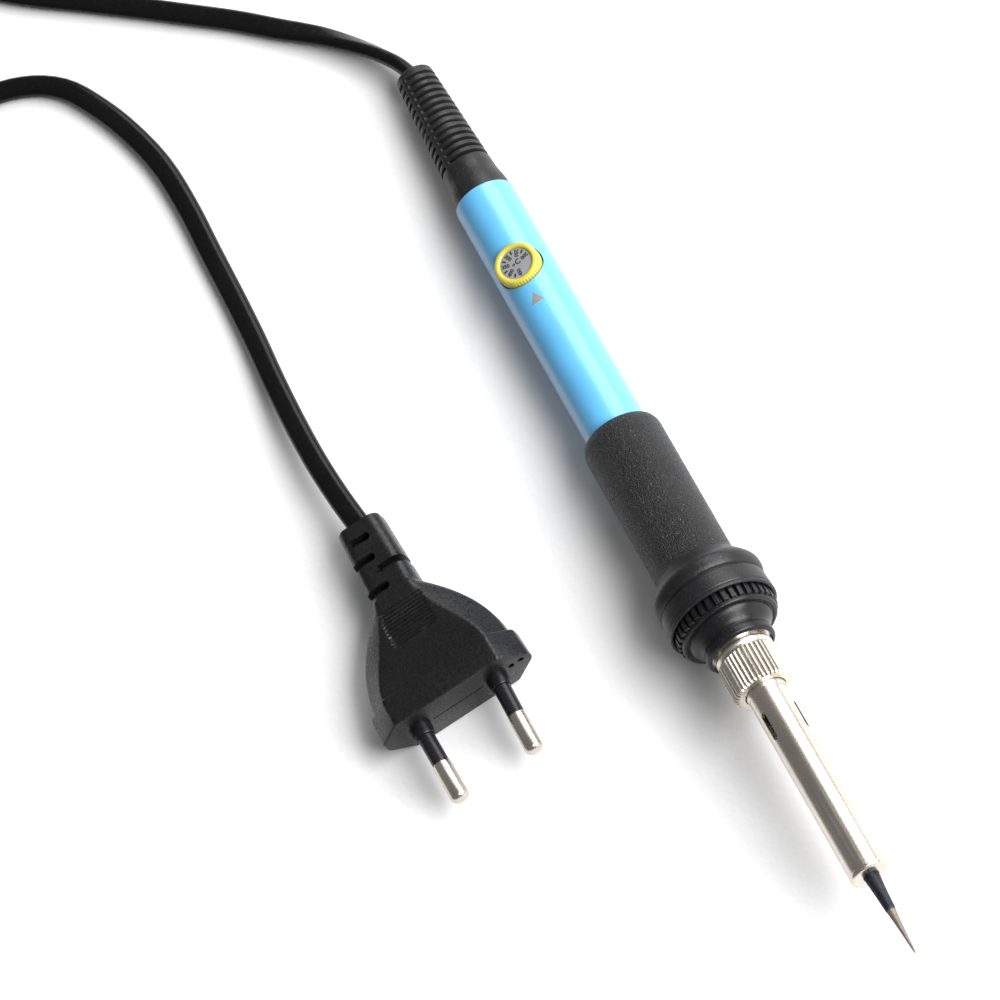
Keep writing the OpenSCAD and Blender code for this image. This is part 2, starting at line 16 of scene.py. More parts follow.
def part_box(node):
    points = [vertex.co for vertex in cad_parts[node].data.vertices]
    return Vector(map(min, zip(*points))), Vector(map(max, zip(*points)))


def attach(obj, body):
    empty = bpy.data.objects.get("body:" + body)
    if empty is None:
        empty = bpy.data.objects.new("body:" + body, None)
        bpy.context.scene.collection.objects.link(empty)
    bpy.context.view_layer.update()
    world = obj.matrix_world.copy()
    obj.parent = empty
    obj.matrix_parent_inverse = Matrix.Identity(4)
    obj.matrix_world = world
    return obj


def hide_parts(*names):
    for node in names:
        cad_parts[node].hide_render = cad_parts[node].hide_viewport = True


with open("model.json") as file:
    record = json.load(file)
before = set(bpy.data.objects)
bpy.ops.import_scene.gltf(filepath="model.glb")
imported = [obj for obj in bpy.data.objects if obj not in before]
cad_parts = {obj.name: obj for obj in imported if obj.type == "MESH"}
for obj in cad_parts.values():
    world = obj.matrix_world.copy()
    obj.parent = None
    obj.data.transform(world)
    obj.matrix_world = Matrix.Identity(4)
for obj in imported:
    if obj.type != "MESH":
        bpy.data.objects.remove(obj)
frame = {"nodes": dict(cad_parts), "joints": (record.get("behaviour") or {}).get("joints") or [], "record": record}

bl_info = {
    "name": "Soldering iron",
    "version": (1, 0, 0),
    "blender": (4, 5, 0),
    "location": "View3D > Sidebar > Soldering iron",
    "description": "Builds the visible pieces of a soldering iron around its mechanical frame",
    "category": "Add Mesh",
}

MM = 0.001
INK = 0.012  # thickness of the print, in millimetres


# ---------------------------------------------------------------- places taken from the frame


def joint(name):
    """The frame's joint of that name."""
    return next(j for j in frame["joints"] if j["name"] == name)


def mount(name):
    """The frame's mount of that name."""
    return next(m for m in frame["record"]["mounts"] if m["name"] == name)


def square_frame(origin, along, up):
    """Rigid frame with X along one direction and Z as near as it goes to the other."""
    x = Vector(along).normalized()
    y = Vector(up).cross(x).normalized()
    z = x.cross(y)
    placed = Matrix((x, y, z)).transposed().to_4x4()
    placed.translation = origin
    return placed


def node_points(node, placed):
    """Corner points of a frame node, in millimetres, seen from a rigid frame."""
    back = placed.inverted()
    return [(back @ v.co) / MM for v in frame["nodes"][node].data.vertices]


def extent(node, placed):
    """First station, last station and largest radius of a node about a frame's X axis."""
    points = node_points(node, placed)
    stations = [p.x for p in points]
    return min(stations), max(stations), max(math.hypot(p.y, p.z) for p in points)


def iron_frame():
    """X along the iron to the tip, Z along the dial's spindle, origin at the tube's rear rim."""
    along = joint("tip_pull")["axis"]
    spindle = joint("dial_turn")
    placed = square_frame(Vector(spindle["pos_m"]), along, spindle["axis"])
    rear = extent("handle_tube", placed)[0]
    return placed @ Matrix.Translation((rear * MM, 0, 0))


def plug_frame():
    """X out of the plug along its pins, origin in the middle of its face."""
    left = mount("plug_pin_left")
    right = mount("plug_pin_right")
    along = Vector(left["axis"]) + Vector(right["axis"])
    middle = (Vector(left["pos_m"]) + Vector(right["pos_m"])) / 2
    placed = square_frame(middle, along, (0, 0, 1))
    face = extent("plug_body", placed)[1]
    return placed @ Matrix.Translation((face * MM, 0, 0))


def pin_frame(name):
    """X out along one pin, origin in the plane of the plug's face."""
    stated = mount(name)
    placed = square_frame(Vector(stated["pos_m"]), stated["axis"], (0, 0, 1))
    face = (placed.inverted() @ PLUG.translation).x
    return placed @ Matrix.Translation((face, 0, 0))


IRON = iron_frame()
PLUG = plug_frame()
SLOTS = {part["node"]: part["material_slot"] for part in frame["record"]["subparts"]}


# ---------------------------------------------------------------- settings


def metres(name, description, millimetres):
    """A length property, with its default given in millimetres."""
    return bpy.props.FloatProperty(
        name=name,
        description=description,
        default=millimetres * MM,
        unit="LENGTH",
        precision=5,
    )


def degrees(name, description, value):
    """An angle property, with its default given in degrees."""
    return bpy.props.FloatProperty(
        name=name,
        description=description,
        default=math.radians(value),
        subtype="ANGLE",
        unit="ROTATION",
    )


def count(name, description, value):
    """A whole-number property."""
    return bpy.props.IntProperty(name=name, description=description, default=value, min=1)


def amount(name, description, value):
    """A plain number property."""
    return bpy.props.FloatProperty(name=name, description=description, default=value)


def colour(name, description, value):
    """A colour property."""
    return bpy.props.FloatVectorProperty(
        name=name,
        description=description,
        default=value,
        subtype="COLOR",
        min=0.0,
        max=1.0,
    )


class IronLeadSettings(bpy.types.PropertyGroup):
    width: metres("Width", "Wide side of the flat twin lead", 5.0)
    thickness: metres("Thickness", "Thin side of the flat twin lead", 3.1)
    coil_outer: metres("Outer turn", "Radius of the outermost turn of the coil", 33.7)
    turns: amount("Turns per layer", "Turns in each of the coil's two layers", 2.7)
    layer: metres("Layer height", "Height from one layer of the coil to the next", 3.12)
    tie_width: metres("Tie width", "Width of the tie round the coil", 3.0)
    tint: colour("Lead colour", "Colour of the lead's sheath", (0.0035, 0.0035, 0.004))


class IronHandleSettings(bpy.types.PropertyGroup):
    wall: metres("Wall", "Wall thickness of the handle tube", 1.3)
    hole_room: metres("Dial gap", "Gap round the dial in its hole", 0.22)
    pointer_gap: metres("Pointer distance", "From the middle of the dial to the pointer", 9.4)
    pointer_size: metres("Pointer size", "Radius of the circle round the pointer", 1.75)
    tint: colour("Tube colour", "Colour of the handle tube", (0.1, 0.4, 0.7))


class IronGripSettings(bpy.types.PropertyGroup):
    ribs: count("Collar ribs", "Ribs round the front collar", 38)
    rib_gap: metres("Rib gap", "Width of the gap between two ribs", 0.7)
    rib_depth: metres("Rib depth", "Depth of the gap between two ribs", 0.85)
    tint: colour("Grip colour", "Colour of the grained rubber", (0.009, 0.009, 0.01))


class IronDialSettings(bpy.types.PropertyGroup):
    first: count("Lowest mark", "Lowest temperature on the dial", 200)
    step: count("Step", "Degrees from one number to the next", 50)
    numbers: count("Numbers", "How many numbers the dial carries", 6)
    spread: degrees("Spread", "Angle from one number to the next", 51.0)
    letter: metres("Letter height", "Height of the numbers", 1.15)
    serrations: count("Serrations", "Fine notches round the dial's edge", 44)
    ring_tint: colour("Ring colour", "Colour of the dial's ring", (0.5, 0.44, 0.06))
    plate_tint: colour("Plate colour", "Colour of the dial's plate", (0.22, 0.222, 0.23))


class IronFrontSettings(bpy.types.PropertyGroup):
    teeth: count("Nut teeth", "Straight knurls round the nut", 40)
    tooth_depth: metres("Knurl depth", "Depth of the nut's knurling", 0.36)
    slot_width: metres("Slot width", "Width of the barrel's vent slots", 1.3)
    slot_length: metres("Slot length", "Length of the barrel's vent slots", 6.5)
    slot_turn: degrees("Slot turn", "Turn of the first vent slot from the top", -37.0)
    cone: metres("Cone root", "Radius of the tip's cone where it leaves the barrel", 1.6)


class IronBootSettings(bpy.types.PropertyGroup):
    grooves: count("Grooves", "Grooves along the cord boot", 14)
    pitch: metres("Groove pitch", "From one groove to the next", 1.83)
    width: metres("Groove width", "Width of a groove", 0.9)
    depth: metres("Groove depth", "Depth of a groove", 0.95)
    spine: degrees("Spine turn", "Turn of the solid spine from the top", -30.0)


class IronPlugSettings(bpy.types.PropertyGroup):
    flange: metres("Flange depth", "Depth of the flange behind the face", 6.5)
    bell_end: metres("Bell length", "From the face to the end of the bell", 27.2)
    edge: metres("Side edge", "Half height of the plug's blunt side edge", 1.6)
    ribs: count("Grip ribs", "Fine ribs across the bell", 11)
    tint: colour("Plug colour", "Colour of the plug's moulding", (0.0055, 0.0055, 0.0062))


class IronStageSettings(bpy.types.PropertyGroup):
    azimuth: degrees("Azimuth", "Camera's turn from the tip's direction", 15.0)
    elevation: degrees("Elevation", "Camera's height above the horizon", 61.4)
    roll: degrees("Roll", "Turn of the picture about the line of sight", -46.6)
    distance: metres("Distance", "From the camera to the point it looks at", 1509.0)
    aim_x: metres("Aim X", "Place on the floor that the camera looks at", -24.5)
    aim_y: metres("Aim Y", "Place on the floor that the camera looks at", -29.2)
    lens: amount("Focal length", "Focal length in millimetres", 264.7)
    key: amount("Key light", "Power of the main soft light", 46.0)
    side: amount("Side light", "Power of the wide light along the side", 22.0)
    fill: amount("Fill light", "Strength of the light from all round", 0.2)


SETTINGS = {
    "iron_lead": IronLeadSettings,
    "iron_handle": IronHandleSettings,
    "iron_grip": IronGripSettings,
    "iron_dial": IronDialSettings,
    "iron_front": IronFrontSettings,
    "iron_boot": IronBootSettings,
    "iron_plug": IronPlugSettings,
    "iron_stage": IronStageSettings,
}


# ---------------------------------------------------------------- shared surface effects


def new_group(name, inputs, outputs):
    """An empty shader group with its sockets, and its two end nodes."""
    group = bpy.data.node_groups.new(name, "ShaderNodeTree")
    for label, kind, value in inputs:
        socket = group.interface.new_socket(name=label, in_out="INPUT", socket_type=kind)
        if value is not None:
            socket.default_value = value
    for label, kind in outputs:
        group.interface.new_socket(name=label, in_out="OUTPUT", socket_type=kind)
    return group, group.nodes.new("NodeGroupInput"), group.nodes.new("NodeGroupOutput")


def calculate(tree, operation, first, second, third=None):
    """A Math node fed with sockets or plain numbers; gives its output."""
    node = tree.nodes.new("ShaderNodeMath")
    node.operation = operation
    for place, value in enumerate((first, second, third)):
        if isinstance(value, (int, float)):
            node.inputs[place].default_value = value
        elif value is not None:
            tree.links.new(value, node.inputs[place])
    return node.outputs[0]


def clouds(tree, place, scale, detail):
    """A Noise Texture's grey value; the scale is a number or a socket."""
    node = tree.nodes.new("ShaderNodeTexNoise")
    node.inputs["Detail"].default_value = detail
    tree.links.new(place, node.inputs["Vector"])
    if isinstance(scale, float):
        node.inputs["Scale"].default_value = scale
    else:
        tree.links.new(scale, node.inputs["Scale"])
    return node.outputs["Fac"]


def ramp(tree, value, low, high):
    """Zero below low, one above high and smooth between."""
    node = tree.nodes.new("ShaderNodeMapRange")
    node.interpolation_type = "SMOOTHSTEP"
    tree.links.new(value, node.inputs["Value"])
    node.inputs["From Min"].default_value = low
    node.inputs["From Max"].default_value = high
    return node.outputs["Result"]


def grain_group():
    """Fine and broad unevenness of a moulded or cast skin."""
    group, start, end = new_group(
        "Skin grain",
        [("Place", "NodeSocketVector", None), ("Size", "NodeSocketFloat", 3000.0)],
        [("Fine", "NodeSocketFloat"), ("Broad", "NodeSocketFloat")],
    )
    place = start.outputs["Place"]
    size = start.outputs["Size"]
    fine = clouds(group, place, size, 3.0)
    broad = clouds(group, place, calculate(group, "MULTIPLY", size, 0.045), 2.0)
    group.links.new(ramp(group, fine, 0.3, 0.7), end.inputs["Fine"])
    group.links.new(ramp(group, broad, 0.3, 0.7), end.inputs["Broad"])
    return group


def scratch_group():
    """Thin marks that run mostly one way, where the surface has been handled."""
    group, start, end = new_group(
        "Handling marks",
        [
            ("Place", "NodeSocketVector", None),
            ("Stretch", "NodeSocketVector", (1.0, 1.0, 1.0)),
            ("Amount", "NodeSocketFloat", 0.5),
        ],
        [("Mask", "NodeSocketFloat")],
    )
    links = group.links
    stretch = group.nodes.new("ShaderNodeVectorMath")
    stretch.operation = "MULTIPLY"
    links.new(start.outputs["Place"], stretch.inputs[0])
    links.new(start.outputs["Stretch"], stretch.inputs[1])
    sharp = ramp(group, clouds(group, stretch.outputs[0], 1.0, 4.0), 0.56, 0.68)
    links.new(calculate(group, "MULTIPLY", sharp, start.outputs["Amount"]), end.inputs["Mask"])
    return group


def wear_group():
    """Rubbed edges: the corners that stand proud."""
    group, start, end = new_group(
        "Rubbed edges",
        [("Place", "NodeSocketVector", None), ("Amount", "NodeSocketFloat", 0.5)],
        [("Mask", "NodeSocketFloat")],
    )
    shape = group.nodes.new("ShaderNodeNewGeometry")
    edges = ramp(group, shape.outputs["Pointiness"], 0.52, 0.62)
    broken = ramp(group, clouds(group, start.outputs["Place"], 420.0, 2.0), 0.35, 0.6)
    both = calculate(group, "MULTIPLY", edges, broken)
    group.links.new(calculate(group, "MULTIPLY", both, start.outputs["Amount"]), end.inputs["Mask"])
    return group


def dust_and_glint_group():
    """Light specks on what faces up: settled dust, and on the grained grip painted glints of light."""
    group, start, end = new_group(
        "Settled dust",
        [("Place", "NodeSocketVector", None), ("Amount", "NodeSocketFloat", 0.2)],
        [("Mask", "NodeSocketFloat")],
    )
    shape = group.nodes.new("ShaderNodeNewGeometry")
    split = group.nodes.new("ShaderNodeSeparateXYZ")
    group.links.new(shape.outputs["Normal"], split.inputs[0])
    upward = ramp(group, split.outputs["Z"], 0.2, 0.9)
    grains = ramp(group, clouds(group, start.outputs["Place"], 3600.0, 5.0), 0.62, 0.74)
    both = calculate(group, "MULTIPLY", upward, grains)
    group.links.new(calculate(group, "MULTIPLY", both, start.outputs["Amount"]), end.inputs["Mask"])
    return group


def shared(name, maker):
    """The shader group of that name, made the first time that it is asked for."""
    return bpy.data.node_groups.get(name) or maker()


# ---------------------------------------------------------------- materials


class Finish:
    """One material while it is being made: its shader and the nodes that vary it."""

    def __init__(self, name):
        self.material = bpy.data.materials.new(name)
        self.material.use_nodes = True
        self.tree = self.material.node_tree
        self.shader = self.tree.nodes["Principled BSDF"]
        self.place = self.tree.nodes.new("ShaderNodeTexCoord").outputs["Object"]

    def effect(self, group, **values):
        """Places a shared group and sets its inputs."""
        node = self.tree.nodes.new("ShaderNodeGroup")
        node.node_tree = group
        self.tree.links.new(self.place, node.inputs["Place"])
        for label, value in values.items():
            node.inputs[label].default_value = value
        return node

    def blend(self, mask, first, second):
        """A colour that turns from first to second with the mask."""
        node = self.tree.nodes.new("ShaderNodeMix")
        node.data_type = "RGBA"
        colours = [s for s in node.inputs if s.type == "RGBA"]
        for socket, value in zip(colours, (first, second)):
            if isinstance(value, bpy.types.NodeSocket):
                self.tree.links.new(value, socket)
            else:
                socket.default_value = (*value, 1.0)
        self.tree.links.new(mask, node.inputs["Factor"])
        return next(s for s in node.outputs if s.type == "RGBA")

    def station(self, low, high):
        """Zero before one station along local X and one after the other, in millimetres."""
        split = self.tree.nodes.new("ShaderNodeSeparateXYZ")
        self.tree.links.new(self.place, split.inputs[0])
        return ramp(self.tree, split.outputs["X"], low * MM, high * MM)


def shade(tint, factor):
    """A colour made lighter or darker."""
    return tuple(min(c * factor, 1.0) for c in tint)


# colour of the light specks: dust, and painted glints of light on the grained grip
DUST_AND_GLINT_COLOUR = (0.4, 0.39, 0.38)
COAT_ROUGHNESS = 0.12
MARK_ROUGHNESS = 0.18  # what a handling mark adds to the roughness
MARK_DEPTH = 0.35  # depth of a handling mark, as a share of the grain's depth


def make_finish(
    name,
    tint,
    roughness,
    metallic=0.0,
    grain=3000.0,
    depth=0.01,
    mottle=0.12,
    spread=0.1,
    marks=0.3,
    stretch=(3000.0, 260.0, 260.0),
    wear=0.25,
    dust=0.25,
    coat=0.0,
    gloss=0.5,
    second=None,
):
    """A material with grain, handling marks, rubbed edges and light specks, each by its own amount; the specks are
    dust, and on the grained grip painted glints of light.
    """
    f = Finish(name)
    tree = f.tree
    skin = f.effect(shared("Skin grain", grain_group), Size=grain)
    lines = f.effect(shared("Handling marks", scratch_group), Stretch=stretch, Amount=marks)
    rubbed = f.effect(shared("Rubbed edges", wear_group), Amount=wear)
    specks = f.effect(shared("Settled dust", dust_and_glint_group), Amount=dust)
    colour = f.blend(skin.outputs["Broad"], shade(tint, 1 - mottle), shade(tint, 1 + mottle))
    if second:
        low, high, other = second
        colour = f.blend(f.station(low, high), colour, other)
    light = shade(tint, 1.25) if metallic else tuple(min(0.9 * c + 0.03, 1.0) for c in tint)
    colour = f.blend(rubbed.outputs["Mask"], colour, light)
    # light specks: settled dust, and on the grained grip painted glints of light
    colour = f.blend(specks.outputs["Mask"], colour, DUST_AND_GLINT_COLOUR)
    tree.links.new(colour, f.shader.inputs["Base Color"])
    uneven = calculate(tree, "MULTIPLY_ADD", skin.outputs["Fine"], spread, roughness - spread / 2)
    uneven = calculate(tree, "MULTIPLY_ADD", lines.outputs["Mask"], MARK_ROUGHNESS, uneven)
    tree.links.new(uneven, f.shader.inputs["Roughness"])
    relief = calculate(tree, "MULTIPLY_ADD", lines.outputs["Mask"], -MARK_DEPTH, skin.outputs["Fine"])
    bump = tree.nodes.new("ShaderNodeBump")
    bump.inputs["Distance"].default_value = depth * MM
    tree.links.new(relief, bump.inputs["Height"])
    tree.links.new(bump.outputs["Normal"], f.shader.inputs["Normal"])
    f.shader.inputs["Metallic"].default_value = metallic
    f.shader.inputs["Specular IOR Level"].default_value = gloss
    f.shader.inputs["Coat Weight"].default_value = coat
    f.shader.inputs["Coat Roughness"].default_value = COAT_ROUGHNESS
    return f.material


FINISHES = {
    "handle_blue": dict(gloss=0.8, roughness=0.36, depth=0.003, mottle=0.03, spread=0.05,
                        marks=0.25, stretch=(90.0, 2600.0, 2600.0), coat=0.4),
    "print_grey": dict(tint=(0.22, 0.2, 0.19), roughness=0.5, depth=0.002, dust=0.1),
    # the grained grip's light specks are painted glints of light on its grain
    "grip_grained": dict(gloss=0.35, roughness=0.36, grain=2900.0, depth=0.2, mottle=0.15,
                         spread=0.25, marks=0.1, dust=0.5, wear=0.3),
    "grip_smooth": dict(gloss=0.35, tint=(0.009, 0.009, 0.01), roughness=0.38, grain=2600.0,
                        depth=0.018, mottle=0.15, spread=0.15, dust=0.2, wear=0.4),
    "collar_plastic": dict(gloss=0.3, tint=(0.006, 0.006, 0.007), roughness=0.32, depth=0.008,
                           spread=0.12, wear=0.35, dust=0.2),
    "nut_nickel": dict(tint=(0.66, 0.61, 0.53), roughness=0.3, metallic=1.0, depth=0.004,
                       marks=0.5, wear=0.3, dust=0.05, mottle=0.08),
    "barrel_steel": dict(tint=(0.67, 0.61, 0.54), roughness=0.27, metallic=1.0, depth=0.0002,
                         stretch=(30.0, 1800.0, 1800.0), marks=0.6, wear=0.2, dust=0.03,
                         mottle=0.05, spread=0.02),
    "tip_plating": dict(tint=(0.016, 0.018, 0.026), roughness=0.45, metallic=0.5, depth=0.05,
                        spread=0.3, mottle=0.5, second=(188.2, 188.9, (0.2, 0.165, 0.13)),
                        wear=0.2, dust=0.05),
    "dial_yellow": dict(roughness=0.36, depth=0.003, mottle=0.04, wear=0.1, dust=0.1, marks=0.2),
    "dial_grey": dict(roughness=0.45, depth=0.003, mottle=0.06, dust=0.15),
    "print_black": dict(tint=(0.012, 0.012, 0.012), roughness=0.5, depth=0.001, dust=0.05),
    "boot_rubber": dict(gloss=0.35, tint=(0.012, 0.012, 0.0122), roughness=0.4, grain=2400.0,
                        depth=0.014, spread=0.15, wear=0.4, dust=0.25),
    "lead_sheath": dict(gloss=0.2, roughness=0.26, grain=900.0, depth=0.01, spread=0.1,
                        stretch=(900.0, 900.0, 900.0), marks=0.3, dust=0.03, wear=0.1),
    "tie_plastic": dict(gloss=0.3, tint=(0.03, 0.03, 0.03), roughness=0.42, depth=0.01, dust=0.3),
    "plug_plastic": dict(gloss=0.36, roughness=0.34, grain=2000.0, depth=0.02, spread=0.2,
                         wear=0.35, dust=0.06, marks=0.3),
    "bridge_plastic": dict(gloss=0.3, tint=(0.006, 0.006, 0.007), roughness=0.3, depth=0.006,
                           wear=0.8, dust=0.15),
    "sleeve_black": dict(gloss=0.35, tint=(0.008, 0.008, 0.011), roughness=0.28, depth=0.005,
                         dust=0.1),
    "pin_nickel": dict(tint=(0.64, 0.58, 0.51), roughness=0.27, metallic=1.0, depth=0.001,
                       stretch=(120.0, 3600.0, 3600.0), marks=0.6, wear=0.2, dust=0.05),
    "screw_steel": dict(tint=(0.5, 0.5, 0.5), roughness=0.35, metallic=1.0, depth=0.004),
    "bush_nickel": dict(tint=(0.64, 0.6, 0.54), roughness=0.3, metallic=1.0, depth=0.005,
                       marks=0.5),
    "base_ceramic": dict(tint=(0.8, 0.78, 0.72), roughness=0.62, grain=2600.0, depth=0.02),
    "rod_ceramic": dict(tint=(0.84, 0.83, 0.8), roughness=0.5, depth=0.01),
    "lead_metal": dict(tint=(0.62, 0.61, 0.58), roughness=0.3, metallic=1.0, depth=0.003),
    "sleeve_fabric": dict(tint=(0.78, 0.74, 0.62), roughness=0.8, grain=3600.0, depth=0.05),
    "board_green": dict(tint=(0.03, 0.2, 0.07), roughness=0.34, depth=0.004, coat=0.3),
    "pot_blue": dict(tint=(0.05, 0.14, 0.42), roughness=0.42, depth=0.006),
    "part_black": dict(tint=(0.02, 0.02, 0.02), roughness=0.48, depth=0.01),
    "diac_glass": dict(tint=(0.4, 0.12, 0.08), roughness=0.15, depth=0.002, coat=0.5),
    "capacitor_case": dict(tint=(0.5, 0.2, 0.05), roughness=0.3, depth=0.02, coat=0.3),
    "resistor_body": dict(tint=(0.6, 0.5, 0.33), roughness=0.45, depth=0.01),
    "core_insulation": dict(tint=(0.22, 0.09, 0.04), roughness=0.45, depth=0.006),
    "clip_nylon": dict(tint=(0.74, 0.74, 0.7), roughness=0.5, depth=0.008),
    "shaft_plastic": dict(tint=(0.2, 0.2, 0.2), roughness=0.5, depth=0.008),
    "studio_floor": dict(tint=(0.86, 0.86, 0.865), roughness=0.72, grain=700.0, depth=0.02,
                         mottle=0.01, marks=0.0, wear=0.0, dust=0.0),
}

# Finishes whose colour is a setting, with the settings group and the name of the colour in it.
CHOSEN_TINTS = {
    "handle_blue": ("iron_handle", "tint"),
    "grip_grained": ("iron_grip", "tint"),
    "dial_yellow": ("iron_dial", "ring_tint"),
    "dial_grey": ("iron_dial", "plate_tint"),
    "lead_sheath": ("iron_lead", "tint"),
    "plug_plastic": ("iron_plug", "tint"),
}


def finish(name):
    """The material for a finish, made the first time that it is asked for."""
    title = name + "_finish"
    made = bpy.data.materials.get(title)
    if made:
        return made
    values = dict(FINISHES[name])
    if name in CHOSEN_TINTS:
        group, tint = CHOSEN_TINTS[name]
        values["tint"] = tuple(getattr(getattr(bpy.context.scene, group), tint))
    return make_finish(title, **values)


# ---------------------------------------------------------------- mesh makers


def put(name, data, placed):
    """An object with that data, in its place in the scene."""
    piece = bpy.data.objects.new(name, data)
    bpy.context.scene.collection.objects.link(piece)
    piece.matrix_world = placed
    return piece


def build(name, shape, placed, material, body, sharp=32.0):
    """A piece from (points in millimetres, faces), in its rigid frame and on its body."""
    points, faces = shape
    mesh = bpy.data.meshes.new(name)
    mesh.from_pydata([(p[0] * MM, p[1] * MM, p[2] * MM) for p in points], [], faces)
    work = bmesh.new()
    work.from_mesh(mesh)
    bmesh.ops.recalc_face_normals(work, faces=work.faces[:])
    work.to_mesh(mesh)
    work.free()
    mesh.shade_smooth()
    mesh.set_sharp_from_angle(angle=math.radians(sharp))
    mesh.materials.append(finish(material))
    piece = put(name, mesh, placed)
    if body:
        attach(piece, body)
    return piece


def carve(piece, shapes, sharp=32.0):
    """Cuts each shape, given in the piece's own frame, out of the piece."""
    for shape in shapes:
        cutter = build("cutter", shape, piece.matrix_world, "part_black", None)
        change = piece.modifiers.new("cut", "BOOLEAN")
        change.operation = "DIFFERENCE"
        change.solver = "EXACT"
        change.object = cutter
        graph = bpy.context.evaluated_depsgraph_get()
        result = bpy.data.meshes.new_from_object(piece.evaluated_get(graph))
        piece.modifiers.clear()
        piece.data = result
        bpy.data.objects.remove(cutter)
    piece.data.shade_smooth()
    piece.data.set_sharp_from_angle(angle=math.radians(sharp))


def stand_for(piece, *nodes):
    """The piece takes the place of these frame nodes, which are hidden."""
    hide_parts(*nodes)


def clamp(t):
    """The number, held between zero and one."""
    return min(max(t, 0.0), 1.0)


def smoothstep(t):
    """Zero to one with a soft start and end."""
    t = clamp(t)
    return t * t * (3 - 2 * t)


def eased(before, here, after, ease, steps):
    """Points of the arc that rounds off a corner by its easing length."""
    back = before - here
    ahead = after - here
    reach = min(ease, 0.45 * back.length, 0.45 * ahead.length)
    first = here + back.normalized() * reach
    final = here + ahead.normalized() * reach
    arc = []
    for k in range(steps + 1):
        t = k / steps
        arc.append(first * (1 - t) ** 2 + here * 2 * t * (1 - t) + final * t * t)
    return arc


def rounded(corners, steps=4):
    """An outline through (station, radius, easing) corners, each eased by its own length."""
    outline = []
    last = len(corners) - 1
    for i, (x, r, ease) in enumerate(corners):
        if ease <= 0 or i in (0, last):
            outline.append((x, r))
            continue
        before, after = (Vector(corners[k][:2]) for k in (i - 1, i + 1))
        arc = eased(before, Vector((x, r)), after, ease, steps)
        outline.extend((p.x, p.y) for p in arc)
    return outline


def sweep_curve(start, stop, steps):
    """Corners of an S-curve from one (station, radius) to another."""
    return [
        (
            start[0] + (stop[0] - start[0]) * k / steps,
            start[1] + (stop[1] - start[1]) * smoothstep(k / steps),
            0.0,
        )
        for k in range(steps + 1)
    ]


def finer(outline, step):
    """The outline with long straight stretches divided."""
    result = [outline[0]]
    for a, b in zip(outline, outline[1:]):
        pieces = max(1, math.ceil(abs(b[0] - a[0]) / step))
        for k in range(1, pieces + 1):
            t = k / pieces
            result.append((a[0] + (b[0] - a[0]) * t, a[1] + (b[1] - a[1]) * t))
    return result


def stitch(rings, faces):
    """Joins rings of point numbers into a skin; a ring of one point is a pole."""
    for a, b in zip(rings, rings[1:]):
        n = max(len(a), len(b))
        for k in range(n):
            m = (k + 1) % n
            if len(a) == 1:
                faces.append((a[0], b[k], b[m]))
            elif len(b) == 1:
                faces.append((a[k], b[0], a[m]))
            else:
                faces.append((a[k], b[k], b[m], a[m]))


def turned(outline, sides=96, relief=None, closed=False):
    """A solid turned about X; relief(station, angle, radius) is taken off its radius."""
    points = []
    rings = []
    for x, r in outline:
        if r < 1e-6:
            rings.append([len(points)])
            points.append((x, 0.0, 0.0))
            continue
        ring = []
        for k in range(sides):
            angle = 2 * math.pi * k / sides
            size = r - (relief(x, angle, r) if relief else 0.0)
            ring.append(len(points))
            points.append((x, size * math.sin(angle), size * math.cos(angle)))
        rings.append(ring)
    faces = []
    stitch(rings + ([rings[0]] if closed else []), faces)
    return points, faces


def stacked(outlines):
    """A solid through closed outlines of equal count, capped at both ends."""
    points = []
    rings = []
    for outline in outlines:
        rings.append(list(range(len(points), len(points) + len(outline))))
        points.extend(outline)
    faces = [tuple(rings[0]), tuple(reversed(rings[-1]))]
    stitch(rings, faces)
    return points, faces


def block(low, high):
    """A plain box between two corners."""
    (x0, y0, z0), (x1, y1, z1) = low, high
    return stacked([[(x, y0, z0), (x, y1, z0), (x, y1, z1), (x, y0, z1)] for x in (x0, x1)])


def pill(length, width, low, high, at=(0.0, 0.0), across=False):
    """A round-ended prism along Z, long along X, or along Y where it lies across."""
    half = length / 2 - width / 2
    outline = []
    for k in range(24):
        angle = 2 * math.pi * (k + 0.5) / 24
        x = width / 2 * math.cos(angle) + math.copysign(half, math.cos(angle))
        y = width / 2 * math.sin(angle)
        outline.append((y, x) if across else (x, y))
    return stacked([[(at[0] + x, at[1] + y, z) for x, y in outline] for z in (low, high)])


def spun(shape, angle):
    """A shape turned about X, from Z towards Y."""
    turn = Matrix.Rotation(-angle, 3, "X")
    points, faces = shape
    return [tuple(turn @ Vector(p)) for p in points], faces


def from_gap(angle, number, radius):
    """How far round a circle a point is from the middle of the nearest of a number of gaps."""
    pitch = 2 * math.pi * radius / number
    return abs((angle * number / (2 * math.pi)) % 1.0 - 0.5) * pitch


def gap_profile(angle, number, radius, width, slope):
    """One in the middle of each of a number of gaps round a circle, zero between them."""
    return clamp((width / 2 + slope / 2 - from_gap(angle, number, radius)) / slope)


# ---------------------------------------------------------------- lead

FLOOR_GAP = 0.05  # between the lead and the floor
TURN_GAP = 0.1  # between two turns of the coil
COIL_LOW = 2.05  # height of the middle of the coil's lower layer
TURNING = 42.0  # length in which the lead turns from upright to flat
TIE_PLACE = math.radians(215)  # where on the coil the tie is
TIE_THICK = 0.55


def spline(route, per_span):
    """Points on a smooth line through the route."""
    points = [Vector(p) for p in route]
    line = []
    for i in range(len(points) - 1):
        a = points[max(i - 1, 0)]
        b = points[i]
        c = points[i + 1]
        d = points[min(i + 2, len(points) - 1)]
        for k in range(per_span):
            s = k / per_span
            line.append(
                0.5 * (2 * b + (c - a) * s + (2 * a - 5 * b + 4 * c - d) * s * s
                       + (3 * b - a - 3 * c + d) * s * s * s)
            )
    line.append(points[-1])
    return line


